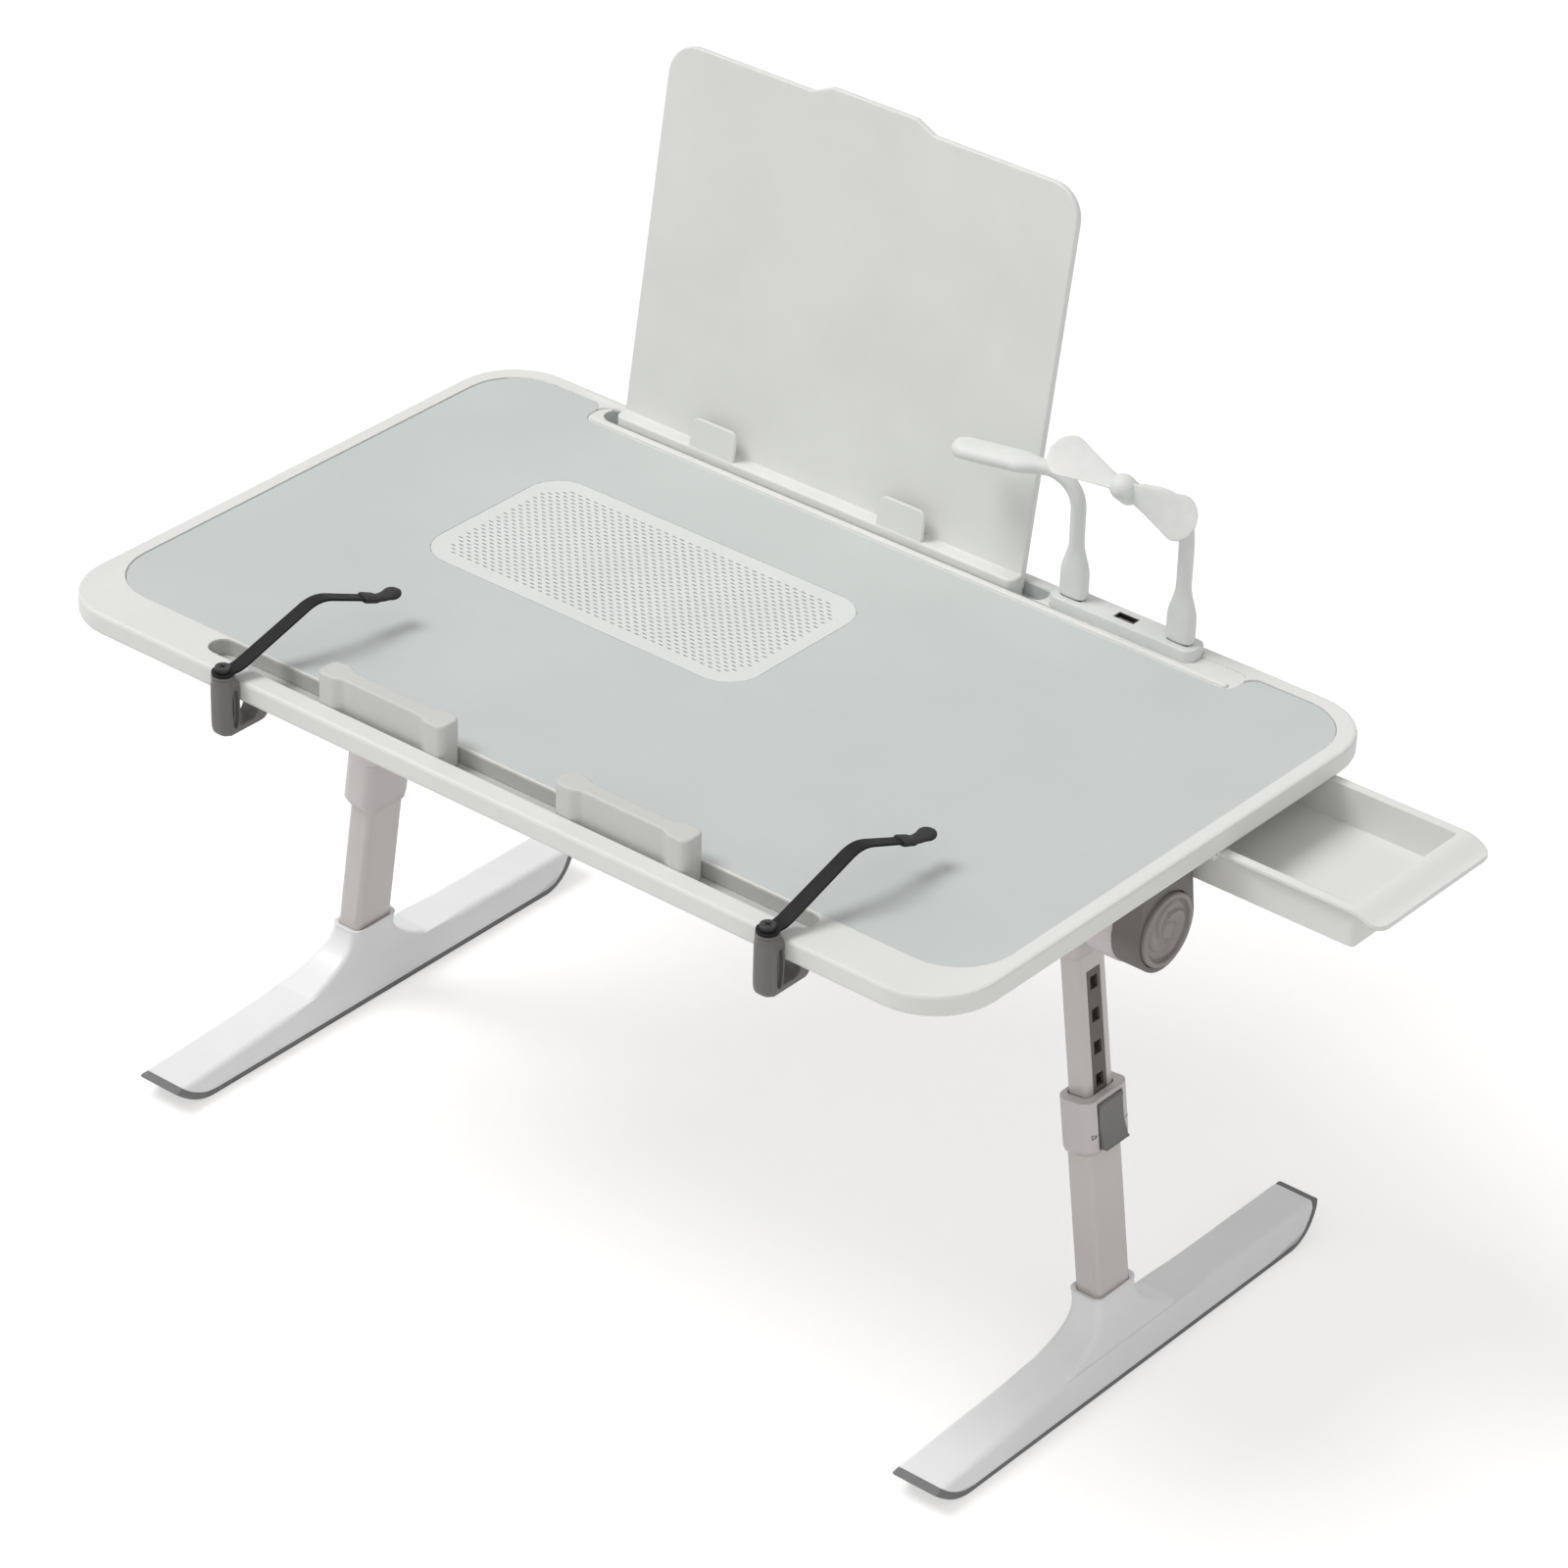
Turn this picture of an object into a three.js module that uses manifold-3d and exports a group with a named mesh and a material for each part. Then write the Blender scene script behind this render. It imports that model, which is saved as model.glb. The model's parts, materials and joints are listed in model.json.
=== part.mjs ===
// Folding bed table: a tray-edged desk on two splayed telescopic legs that fold flat under it.
// The desk tilts on two round pivots, and carries a pull-out drawer, a plug-in tablet board,
// two sliding book stops, two swivelling page clips and a USB hub with a lamp and a fan.
// Millimetres and degrees. X runs along the desk, Y from the sitter to the back, Z up.

import * as THREE from "three";
import { mergeVertices } from "three/addons/utils/BufferGeometryUtils.js";
import Module from "manifold-3d";

const wasm = await Module();
wasm.setup();

// Driving dimensions

const DESK = {
  length: 640,
  depth: 384,
  height: 350,
  edge: 13,
  corner: 41,
  edgeRound: 2,
};

const FIT = {
  gap: 0.3, // between pieces that touch
  slide: 0.4, // each side of a sliding piece
  overrun: 2, // how far a cutter passes the face it cuts
  weld: 0.001, // points closer than this are one
};

// The grey writing surface let into the desk, and the vent let into it
const PANEL = {
  sideRim: 10,
  frontRim: 31,
  backRim: 10,
  corner: 35,
  backCornerShare: 0.53, // of the room between the strip and the side
  thick: 3,
  sunk: 0.7,
};
const VENT = {
  length: 236,
  depth: 120,
  centreX: -84,
  centreY: 41,
  corner: 22,
  ledge: 5,
  columns: 12,
  rows: 7,
  slotLength: 10.4,
  slotWidth: 4.6,
  columnPitch: 16.4,
  rowPitch: 13.6,
};
const COVER = {
  border: 6,
  thick: 2.2,
  louvres: 7,
  louvrePitch: 14,
  louvreWidth: 5,
  louvreLength: 180,
};

// Slim cooling fan under the vent
const COOLER = {
  size: 104,
  tall: 6,
  corner: 8,
  bore: 47,
  rotorRadius: 46,
  hubRadius: 17,
  hubTall: 3.9,
  blades: 7,
  chord: 11,
  bladeThick: 1.2,
  pitchDeg: 15,
  baseThick: 1.2,
  baseRadius: 15,
  armWidth: 7,
  shaftRadius: 1.5,
  boreRoom: 0.3,
};

// Trough for the book stops in the front rim
const TROUGH = { length: 430, width: 16.6, depth: 10, fromFront: 12.4, centreX: 3 };
const STOP = {
  length: 92,
  proud: 19,
  waist: 10.4,
  endLength: 12,
  leftX: -80,
  rightX: 91,
  shoulder: 5,
  round: 1.2,
};

// Strip along the back with the bead, the tablet slot and the hub
const STRIP = { endRoom: 6, depth: 30, corner: 8, sunk: 1 };
const RIDGE = { width: 4.6, proud: 1.5, round: 1.1, fromFront: 1.4 };
const SLOT = { fromHub: 4, endRoom: 12, width: 14.4, depth: 9.5, fromBack: 7.4 };

// Plug-in tablet board
const BOARD = {
  width: 296,
  height: 237,
  thick: 4.4,
  corner: 20,
  leanDeg: 9.5,
  fromHub: 24,
  footTall: 13.6,
  footCorner: 5,
  plateFrom: 4.6,
  setBack: 3.2,
  round: 1.2,
};
const GRIP = { base: 88, top: 60, rise: 6 };
const LIP = { width: 33, height: 18, thick: 2.4, pitch: 140, centreShift: -4.5, corner: 5, root: 4 };

// Hub with three sockets
const HUB = {
  length: 100,
  depth: 17,
  proud: 6,
  corner: 6,
  wall: 1.8,
  centreX: 152,
  fromBack: 4.2,
  socketPitch: 37,
  round: 0.9,
  pocket: 8.8,
};
const SOCKET = {
  width: 13.4,
  depth: 5.9,
  wall: 0.5,
  tall: 12.6,
  tongue: 1.4,
  tongueWidth: 9.6,
  tongueTall: 9,
  base: 1.4,
};
const CIRCUIT = { thick: 1.2, margin: 0.5 };
const INLET = { width: 9, tall: 3.2, deep: 7, wall: 0.6, floor: 1, set: 0.3 };
const PLUG = {
  width: 11.9,
  depth: 4.5,
  wall: 0.4,
  tall: 11,
  insert: 1.5,
  seat: 0.6,
  collar: 3,
  floor: 1,
};

// Soft bodies of the lamp and the fan
const BOTTLE = { width: 17.6, depth: 9.8, straight: 20, taper: 13, neck: 8.8, edge: 1 };
const LAMP = {
  rise: 75,
  bendRadius: 20,
  turnDeg: 11,
  droopDeg: 2,
  headLength: 58.5,
  headWidth: 18.5,
  headThick: 9,
  growLength: 12,
  tipLength: 8,
  neckWidthShare: 0.6,
  tipWidthShare: 0.55,
  tipThickShare: 0.8,
  endWidthShare: -0.1,
  endThickShare: 0.35,
};
const FAN = {
  offsetX: -33,
  offsetY: -15,
  rise: 89,
  axisX: 0.25,
  axisY: -0.75,
  axisZ: 0.61,
  motorRadius: 7.2,
  motorLength: 15,
  shaftRadius: 1,
  shaftLength: 6,
  hubRadius: 7.4,
  hubLength: 8,
  reach: 47,
  rootChord: 11,
  wideChord: 28,
  bladeThick: 1.3,
  rootPitchDeg: 34,
  tipPitchDeg: 16,
  rollDeg: -5.5,
  straightShare: 0.86, // of the rise, before the neck bends over
  levelShare: 0.95, // how level the neck runs before its rings turn with it
};

// Page clips on the front edge
const CLIP = {
  leftX: -177,
  rightX: 209,
  width: 14,
  postDeep: 12.6,
  postAbove: 3,
  postBelow: 19,
  jawReach: 22,
  jawThick: 4,
  padLength: 8,
  bossRadius: 6.6,
  bossTall: 2,
  recessWide: 5.4,
  recessTall: 20,
  recessDeep: 3.4,
  round: 5,
};
const CLIP_SCREW = { radius: 1.9, length: 13, headRadius: 4.4, headTall: 2.4, slot: 1, slotDeep: 1.1 };
const CLIP_ARM = {
  width: 10,
  thick: 1.7,
  elbowReach: 61,
  elbowRise: 27,
  tipReach: 99,
  tipRise: 14,
  elbowRadius: 13,
  eyeRadius: 6.4,
  flat: 9,
  leftDeg: 77,
  rightDeg: 82,
};
const CLIP_PAD = { length: 27, width: 13, thick: 6.4, grip: 9 };

// Drawer and the two rails that carry its flanges
const DRAWER = {
  length: 190,
  width: 99,
  height: 24.5,
  wall: 2.4,
  floor: 1.8,
  flange: 3.4,
  flangeThick: 2,
  out: 83,
  fromBack: 96,
  lipReach: 18,
  lipDrop: 5,
  lipThick: 2.4,
  lipCorner: 9,
  corner: 3,
};
const RAIL = { web: 2.4, ledge: 2.6, ledgeThick: 2.4, length: 188, hang: 1.6, fromSide: 4 };

// Legs, measured down the leg from its fold pin
const LEG = { splayDeg: 7.5, pivotInset: 73, pivotDrop: 42, fromBack: 176 };
const BARREL = {
  radius: 21,
  outerInset: 32,
  length: 21,
  journalRadius: 12,
  journalLength: 4.6,
  bore: 5.4,
  boreDepth: 17,
};
const YOKE = { width: 36, cheekRadius: 15, slot: 19.6, room: 17, round: 2, pinRadius: 3 };
const HEAD = {
  tongueHalf: 11,
  shoulder: 21,
  bottom: 35,
  width: 15.4,
  depth: 28.6,
  corner: 4,
  spigot: 15,
};
const INNER = { width: 13.8, depth: 24.4, wall: 1.3, corner: 3, end: 186 };
const NOTCHES = {
  width: 11.4,
  thick: 2.2,
  start: 46,
  end: 142,
  first: 54,
  pitch: 20,
  count: 5,
  holeWidth: 6.4,
  holeTall: 8,
};
const OUTER = { width: 17.6, depth: 29.6, corner: 4, topOffset: 123.5 };
const COLLAR = {
  width: 23,
  depth: 38,
  shift: 1.5,
  corner: 7,
  top: 120.5,
  length: 34.5,
  taper: 3.4,
  lip: 2.6,
  inset: 1.8,
};
const LATCH = {
  top: 123.4,
  length: 28,
  width: 21.6,
  outerTop: 14.4,
  outerMid: 13.4,
  outerLow: 17.2,
  pinAt: 142,
  pinOffset: 11.4,
  pinRadius: 1.1,
  pinLength: 31,
  toothWide: 5.4,
  toothTall: 5,
  toothRoom: 1.6,
  relief: 2.2,
  swing: 1,
  springDown: 5.4,
};
const LATCH_SPRING = { wire: 0.7, radius: 1.9, turns: 2.4, length: 3.4, steps: 8, sides: 5 };
const RIM = { width: 21.2, depth: 36, height: 53, pocket: 30 };
const FOOT = {
  front: 171,
  back: 182,
  topWidth: 28,
  bottomWidth: 35,
  armHeight: 23,
  frontHeight: 15,
  backHeight: 22,
  shoulder: 12,
  flare: 44,
  flareFrom: 17,
  sole: 4,
  sweep: 30,
  centreShift: -1.5,
  flarePower: 2.6,
};

// Tilt brackets, their release discs and the springs behind them
const BRACKET = {
  drumRadius: 25,
  drumLength: 17,
  plateThick: 4,
  plateLength: 60,
  plateWidth: 46,
  plateCorner: 8,
  plateInset: 10,
  neckWidth: 40,
  hoodLength: 19,
  hoodRoom: 0.8,
  web: 2.8,
  recessRadius: 22.2,
};
const DISC = {
  radius: 21.6,
  thick: 4.4,
  dish: 1.6,
  dishRadius: 17.4,
  rimRadius: 19,
  stemRadius: 4.9,
  stemLength: 18,
  proud: 2.4,
};
const DISC_SPRING = { wire: 1, radius: 15, turns: 2, steps: 10, sides: 5 };

// Values worked out from the driving dimensions

const DEG = Math.PI / 180;
const HALF = 0.5;
const deskTop = DESK.height;
const deskUnder = DESK.height - DESK.edge;
const halfLength = DESK.length * HALF;
const halfDepth = DESK.depth * HALF;
const panelTop = deskTop - PANEL.sunk;
const panelUnder = panelTop - PANEL.thick;
const webTop = panelUnder - FIT.gap;
const stripTop = deskTop - STRIP.sunk;
const stripFront = halfDepth - STRIP.depth;
const troughY = -halfDepth + TROUGH.fromFront + TROUGH.width * HALF;
const slotY = halfDepth - SLOT.fromBack - SLOT.width * HALF;
const hubY = halfDepth - HUB.fromBack - HUB.depth * HALF;
const hubTop = deskTop + HUB.proud;
const hubLeft = HUB.centreX - HUB.length * HALF;
const hubRight = HUB.centreX + HUB.length * HALF;
const boardX = hubLeft - BOARD.fromHub - BOARD.width * HALF;
const slotRight = hubLeft - SLOT.fromHub;
const slotLeft = boardX - BOARD.width * HALF - SLOT.endRoom;
const stripHalf = Math.max(-slotLeft, hubRight) + STRIP.endRoom;
const panelBackRoom = halfLength - PANEL.sideRim - stripHalf - STRIP.corner;
const socketX = [-1, 0, 1].map((step) => HUB.centreX + step * HUB.socketPitch);
const coverTop = deskUnder + FIT.gap + COVER.thick;
const pivotX = halfLength - LEG.pivotInset;
const legY = halfDepth - LEG.fromBack;
const drawerY = halfDepth - DRAWER.fromBack;
const pivotZ = deskUnder - LEG.pivotDrop;
const splay = LEG.splayDeg * DEG;
const legLength = pivotZ / Math.cos(splay);
const barrelEnd = halfLength - BARREL.outerInset;
const drumStart = barrelEnd + FIT.gap;
const drumEnd = drumStart + BRACKET.drumLength;
const recessFloor = drumStart + BARREL.journalLength + FIT.gap + BRACKET.web;
const discInner = drumEnd + DISC.proud - DISC.thick;

// Materials

const paint = (color, roughness, metalness) =>
  new THREE.MeshStandardMaterial({ color, roughness, metalness });
const white = paint(0xe4e6e4, 0.45, 0);
const grey = paint(0xc8cccb, 0.5, 0);
const ventWhite = paint(0xd9dcdb, 0.5, 0);
const shellWhite = paint(0xdfe0df, 0.4, 0);
const enamel = paint(0xd6d6d6, 0.35, 0.2);
const taupe = paint(0x7d7573, 0.5, 0);
const darkGrey = paint(0x64625f, 0.55, 0);
const bracketGrey = paint(0x6e6e6e, 0.5, 0);
const black = paint(0x1e1e1e, 0.6, 0);
const rubber = paint(0x5e5f61, 0.8, 0);
const steel = paint(0xb8bbbd, 0.3, 1);
const circuitGreen = paint(0x1f5a3c, 0.5, 0);
const silicone = paint(0xdedfdd, 0.6, 0);

// Geometry helpers

// Merges shared vertices and drops the triangles that collapse
function weld(geometry) {
  const bare = new THREE.BufferGeometry();
  bare.setAttribute("position", geometry.getAttribute("position").clone());
  if (geometry.index) bare.setIndex(geometry.index.clone());
  const merged = mergeVertices(bare, FIT.weld);
  const from = merged.index.array;
  const kept = [];
  for (let i = 0; i < from.length; i += 3) {
    const [a, b, c] = [from[i], from[i + 1], from[i + 2]];
    if (a !== b && b !== c && a !== c) kept.push(a, b, c);
  }
  merged.setIndex(kept);
  return merged;
}

function solidOf(geometry) {
  const clean = weld(geometry);
  const mesh = new wasm.Mesh({
    numProp: 3,
    vertProperties: new Float32Array(clean.getAttribute("position").array),
    triVerts: new Uint32Array(clean.index.array),
  });
  return new wasm.Manifold(mesh);
}

function geometryOf(solid) {
  const mesh = solid.getMesh();
  const count = mesh.numProp;
  const positions = new Float32Array(mesh.numVert * 3);
  for (let i = 0; i < mesh.numVert; i++) {
    positions.set(mesh.vertProperties.subarray(i * count, i * count + 3), i * 3);
  }
  const geometry = new THREE.BufferGeometry();
  geometry.setAttribute("position", new THREE.BufferAttribute(positions, 3));
  geometry.setIndex(new THREE.BufferAttribute(new Uint32Array(mesh.triVerts), 1));
  return geometry;
}

const cut = (body, ...tools) =>
  geometryOf(tools.reduce((left, tool) => left.subtract(solidOf(tool)), solidOf(body)));
const join = (body, ...more) =>
  geometryOf(more.reduce((left, piece) => left.add(solidOf(piece)), solidOf(body)));
const overlap = (body, other) => geometryOf(solidOf(body).intersect(solidOf(other)));

// Points of an arc, both ends included
function arc(x, y, radius, startDeg, endDeg, steps) {
  return Array.from({ length: steps + 1 }, (unused, i) => {
    const angle = (startDeg + ((endDeg - startDeg) * i) / steps) * DEG;
    return new THREE.Vector2(x + radius * Math.cos(angle), y + radius * Math.sin(angle));
  });
}

// Outline of a rounded rectangle about the origin, anticlockwise
function roundedOutline(width, depth, radius, steps = 5) {
  const limit = Math.min(width, depth) * HALF;
  const r = Math.min(radius, limit);
  const x = width * HALF - r;
  const y = depth * HALF - r;
  return [
    ...arc(x, y, r, 0, 90, steps),
    ...arc(-x, y, r, 90, 180, steps),
    ...arc(-x, -y, r, 180, 270, steps),
    ...arc(x, -y, r, 270, 360, steps),
  ];
}

// Leaves out points that fall on the next one
function distinct(points) {
  const next = (i) => points[(i + 1) % points.length];
  return points.filter((point, i) => point.distanceTo(next(i)) > FIT.weld);
}

// A slab from z = 0 up, with its outer edges rounded over by `round`
function slab(points, height, round = 0, roundSteps = 2) {
  const geometry = new THREE.ExtrudeGeometry(new THREE.Shape(distinct(points)), {
    depth: height - 2 * round,
    bevelEnabled: round > 0,
    bevelThickness: round,
    bevelSize: round,
    bevelOffset: -round,
    bevelSegments: roundSteps,
    curveSegments: 1,
  });
  return geometry.translate(0, 0, round);
}

// A slab with holes cut square through it
function piercedSlab(points, holes, height) {
  const shape = new THREE.Shape(distinct(points));
  shape.holes = holes.map((hole) => new THREE.Path(distinct(hole)));
  return new THREE.ExtrudeGeometry(shape, { depth: height, bevelEnabled: false, curveSegments: 1 });
}

const roundedSlab = (width, depth, radius, height, round = 0, steps = 5) =>
  slab(roundedOutline(width, depth, radius, steps), height, round);
const block = (width, depth, height) => new THREE.BoxGeometry(width, depth, height);
const shifted = (points, x, y) => points.map((p) => new THREE.Vector2(p.x + x, p.y + y));

// A slab drawn in the YZ plane and extruded along X from x = 0, points given as (y, z)
function slabAlongX(points, length, round = 0) {
  const geometry = slab(points, length, round, 1);
  return geometry.applyMatrix4(
    new THREE.Matrix4().makeBasis(
      new THREE.Vector3(0, 1, 0),
      new THREE.Vector3(0, 0, 1),
      new THREE.Vector3(1, 0, 0),
    ),
  );
}

// A slab drawn in the XZ plane and extruded along Y, centred, points given as (x, z)
function slabAlongY(points, length, round = 0) {
  const geometry = slab(points, length, round, 1);
  geometry.applyMatrix4(
    new THREE.Matrix4().makeBasis(
      new THREE.Vector3(1, 0, 0),
      new THREE.Vector3(0, 0, 1),
      new THREE.Vector3(0, -1, 0),
    ),
  );
  return geometry.translate(0, length * HALF, 0);
}

const cylinderY = (radius, length, sides = 24) =>
  new THREE.CylinderGeometry(radius, radius, length, sides);
const cylinderX = (radius, length, sides = 32) =>
  cylinderY(radius, length, sides).rotateZ(90 * DEG).translate(length * HALF, 0, 0);
const cylinderZ = (radius, height, sides = 24) =>
  cylinderY(radius, height, sides).rotateX(90 * DEG).translate(0, 0, height * HALF);

// Joins rings of equal count into one closed skin, each end closed on its centre
function loft(rings) {
  const sides = rings[0].length;
  const positions = rings.flat().flatMap((p) => [p.x, p.y, p.z]);
  const faces = [];
  for (let r = 0; r + 1 < rings.length; r++) {
    for (let i = 0; i < sides; i++) {
      const a = r * sides + i;
      const b = r * sides + ((i + 1) % sides);
      faces.push(a, b, b + sides, a, b + sides, a + sides);
    }
  }
  for (const end of [0, rings.length - 1]) {
    const centre = rings[end].reduce((sum, p) => sum.add(p), new THREE.Vector3()).divideScalar(sides);
    const hub = positions.length / 3;
    positions.push(centre.x, centre.y, centre.z);
    for (let i = 0; i < sides; i++) {
      const a = end * sides + i;
      const b = end * sides + ((i + 1) % sides);
      faces.push(...(end ? [hub, a, b] : [hub, b, a]));
    }
  }
  const geometry = new THREE.BufferGeometry();
  geometry.setAttribute("position", new THREE.Float32BufferAttribute(positions, 3));
  geometry.setIndex(faces);
  return geometry;
}

// Ring of a superellipse in the plane of two unit vectors; power 2 is an ellipse, more is squarer
function ovalRing(centre, across, up, width, height, power, sides, start = 0) {
  return Array.from({ length: sides }, (unused, i) => {
    const angle = start + (i / sides) * 2 * Math.PI;
    const c = Math.cos(angle);
    const s = Math.sin(angle);
    const x = Math.sign(c) * Math.abs(c) ** (2 / power) * width * HALF;
    const y = Math.sign(s) * Math.abs(s) ** (2 / power) * height * HALF;
    return centre.clone().addScaledVector(across, x).addScaledVector(up, y);
  });
}

// One unbroken wire wound along Z from z = 0, with its least gap between turns
function coil(radius, wire, turns, length, steps, sides) {
  const count = Math.round(turns * steps);
  const pitch = (length - wire) / turns;
  const rings = Array.from({ length: count + 1 }, (unused, k) => {
    const angle = (k / steps) * 2 * Math.PI;
    const out = new THREE.Vector3(Math.cos(angle), Math.sin(angle), 0);
    const centre = out.clone().multiplyScalar(radius);
    centre.z = wire * HALF + (k / steps) * pitch;
    return ovalRing(centre, out, new THREE.Vector3(0, 0, 1), wire, wire, 2, sides).reverse();
  });
  return { geometry: loft(rings), gap: pitch - wire };
}

// Scene graph helpers

const table = new THREE.Group();

function piece(group, name, geometry, material) {
  const mesh = new THREE.Mesh(geometry, material);
  mesh.name = name;
  group.add(mesh);
  return mesh;
}

// Moves a geometry and hands it back
const at = (geometry, x, y, z) => geometry.translate(x, y, z);
const deep = (size) => size + FIT.overrun;

// Desk: a white moulded frame, the grey writing surface and the vent in it

// Outline of the writing surface, notched at the back for the strip, grown by `grow`
function panelOutline(grow) {
  const side = halfLength - PANEL.sideRim + grow;
  const front = -halfDepth + PANEL.frontRim - grow;
  const back = halfDepth - PANEL.backRim + grow;
  const radius = PANEL.corner + grow;
  const backRadius = panelBackRoom * PANEL.backCornerShare + grow;
  const notch = stripHalf - grow;
  const notchFront = stripFront + grow;
  const outer = STRIP.corner + grow;
  const inner = STRIP.corner - grow;
  const right = [
    ...arc(side - radius, front + radius, radius, -90, 0, 7),
    ...arc(side - backRadius, back - backRadius, backRadius, 0, 90, 7),
    ...arc(notch + outer, back - outer, outer, 90, 180, 4),
    ...arc(notch - inner, notchFront + inner, inner, 0, -90, 4),
  ];
  const left = right.map((p) => new THREE.Vector2(-p.x, p.y)).reverse();
  return [...right, ...left];
}

const ventOutline = (grow) =>
  shifted(
    roundedOutline(VENT.length + 2 * grow, VENT.depth + 2 * grow, VENT.corner + grow),
    VENT.centreX,
    VENT.centreY,
  );
const hubOutline = (grow) =>
  shifted(
    roundedOutline(HUB.length + 2 * grow, HUB.depth + 2 * grow, HUB.corner + grow, 4),
    HUB.centreX,
    hubY,
  );
const slotOutline = () =>
  shifted(
    roundedOutline(slotRight - slotLeft, SLOT.width, SLOT.width * HALF, 5),
    (slotRight + slotLeft) * HALF,
    slotY,
  );

function ridge() {
  const length = 2 * stripHalf - STRIP.corner;
  const outline = roundedOutline(length, RIDGE.width, RIDGE.width * HALF, 3);
  const bead = slab(outline, STRIP.sunk + RIDGE.proud, RIDGE.round);
  return at(bead, 0, stripFront + RIDGE.fromFront + RIDGE.width * HALF, stripTop - STRIP.sunk);
}

const circuitTop = hubTop - SOCKET.tall - FIT.gap;
const inletZ = circuitTop - CIRCUIT.thick * HALF + INLET.tall * HALF;

function deskFrame() {
  const outline = roundedOutline(DESK.length, DESK.depth, DESK.corner, 9);
  const body = at(slab(outline, DESK.edge, DESK.edgeRound), 0, 0, deskUnder);
  const stripDepth = halfDepth - PANEL.backRim - stripFront;
  const strip = roundedSlab(2 * stripHalf, stripDepth, STRIP.corner, deep(STRIP.sunk));
  const troughOutline = roundedOutline(TROUGH.length, TROUGH.width, TROUGH.width * HALF, 6);
  const trough = slab(troughOutline, deep(TROUGH.depth));
  const coverRoom = deep(coverTop + FIT.gap - deskUnder);
  const cover = slab(ventOutline(COVER.border - VENT.ledge + FIT.gap), coverRoom);
  const inlet = block(INLET.width + 2 * FIT.gap, deep(PANEL.backRim), INLET.tall + 2 * FIT.gap);
  const carved = cut(
    body,
    at(slab(panelOutline(FIT.gap), deep(deskTop - webTop)), 0, 0, webTop),
    at(slab(ventOutline(-VENT.ledge), deep(DESK.edge)), 0, 0, deskUnder - FIT.overrun),
    at(cover, 0, 0, deskUnder - FIT.overrun),
    at(trough, TROUGH.centreX, troughY, deskTop - TROUGH.depth),
    at(slab(slotOutline(), deep(SLOT.depth)), 0, 0, deskTop - SLOT.depth),
    at(slab(hubOutline(FIT.gap), deep(HUB.pocket)), 0, 0, deskTop - HUB.pocket),
    at(strip, 0, stripFront + stripDepth * HALF, stripTop),
    at(inlet, HUB.centreX, halfDepth, inletZ),
  );
  return join(carved, ridge());
}

function ventPanel() {
  const { columns, rows, slotLength, slotWidth, columnPitch, rowPitch } = VENT;
  const slots = [];
  for (let column = 0; column < columns; column++) {
    for (let row = 0; row < rows; row++) {
      const across = VENT.centreX + (column - (columns - 1) * HALF) * columnPitch;
      const back = VENT.centreY + (row - (rows - 1) * HALF) * rowPitch;
      slots.push(at(block(slotLength, slotWidth, 2 * deep(PANEL.thick)), across, back, panelTop));
    }
  }
  return cut(at(slab(ventOutline(0), PANEL.thick), 0, 0, panelUnder), ...slots);
}

function undersideCover() {
  const louvre = roundedOutline(COVER.louvreLength, COVER.louvreWidth, COVER.louvreWidth * HALF, 2);
  const holes = Array.from({ length: COVER.louvres }, (unused, i) =>
    shifted(louvre, VENT.centreX, VENT.centreY + (i - (COVER.louvres - 1) * HALF) * COVER.louvrePitch),
  );
  const outline = ventOutline(COVER.border - VENT.ledge);
  return at(piercedSlab(outline, holes, COVER.thick), 0, 0, deskUnder + FIT.gap);
}

piece(table, "tray_frame", deskFrame(), white);
piece(
  table,
  "desk_panel",
  at(piercedSlab(panelOutline(0), [ventOutline(FIT.gap)], PANEL.thick), 0, 0, panelUnder),
  grey,
);
piece(table, "vent_panel", ventPanel(), ventWhite);
piece(table, "underside_cover", undersideCover(), white);

// Cooling fan: a square frame with a spider that carries the rotor's shaft

const coolerFloor = coverTop + FIT.gap;

function coolerFrame() {
  const ring = piercedSlab(
    roundedOutline(COOLER.size, COOLER.size, COOLER.corner, 3),
    [arc(0, 0, COOLER.bore, 0, 360, 36)],
    COOLER.tall,
  );
  const base = cylinderZ(COOLER.baseRadius, COOLER.baseThick, 24);
  const reach = 2 * (COOLER.bore + FIT.overrun);
  const arms = [45, 135].map((turnDeg) => {
    const arm = block(reach, COOLER.armWidth, COOLER.baseThick).rotateZ(turnDeg * DEG);
    return at(arm, 0, 0, COOLER.baseThick * HALF);
  });
  const shaft = cylinderZ(COOLER.shaftRadius, COOLER.tall - COOLER.boreRoom, 12);
  return join(ring, base, ...arms, shaft);
}

function coolerRotor() {
  const { rotorRadius, hubRadius, hubTall, chord, bladeThick, pitchDeg, blades } = COOLER;
  const hub = cylinderZ(hubRadius, hubTall, 28);
  const length = rotorRadius - hubRadius * HALF;
  const fins = Array.from({ length: blades }, (unused, i) => {
    const fin = block(length, chord, bladeThick).rotateX(pitchDeg * DEG);
    return at(fin, rotorRadius - length * HALF, 0, hubTall * HALF).rotateZ((i / blades) * 360 * DEG);
  });
  const trim = cylinderZ(rotorRadius, hubTall, 36);
  const bore = cylinderZ(COOLER.shaftRadius + COOLER.boreRoom, hubTall + 2 * FIT.overrun, 12);
  return cut(overlap(join(hub, ...fins), trim), at(bore, 0, 0, -FIT.overrun));
}

const cooler = new THREE.Group();
cooler.position.set(VENT.centreX, VENT.centreY, coolerFloor);
table.add(cooler);
piece(cooler, "cooling_fan_frame", coolerFrame(), black);
piece(cooler, "cooling_fan_rotor", coolerRotor(), black).position.z = COOLER.baseThick + FIT.gap;

// USB hub: a cap with three sockets standing on a circuit board

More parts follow.
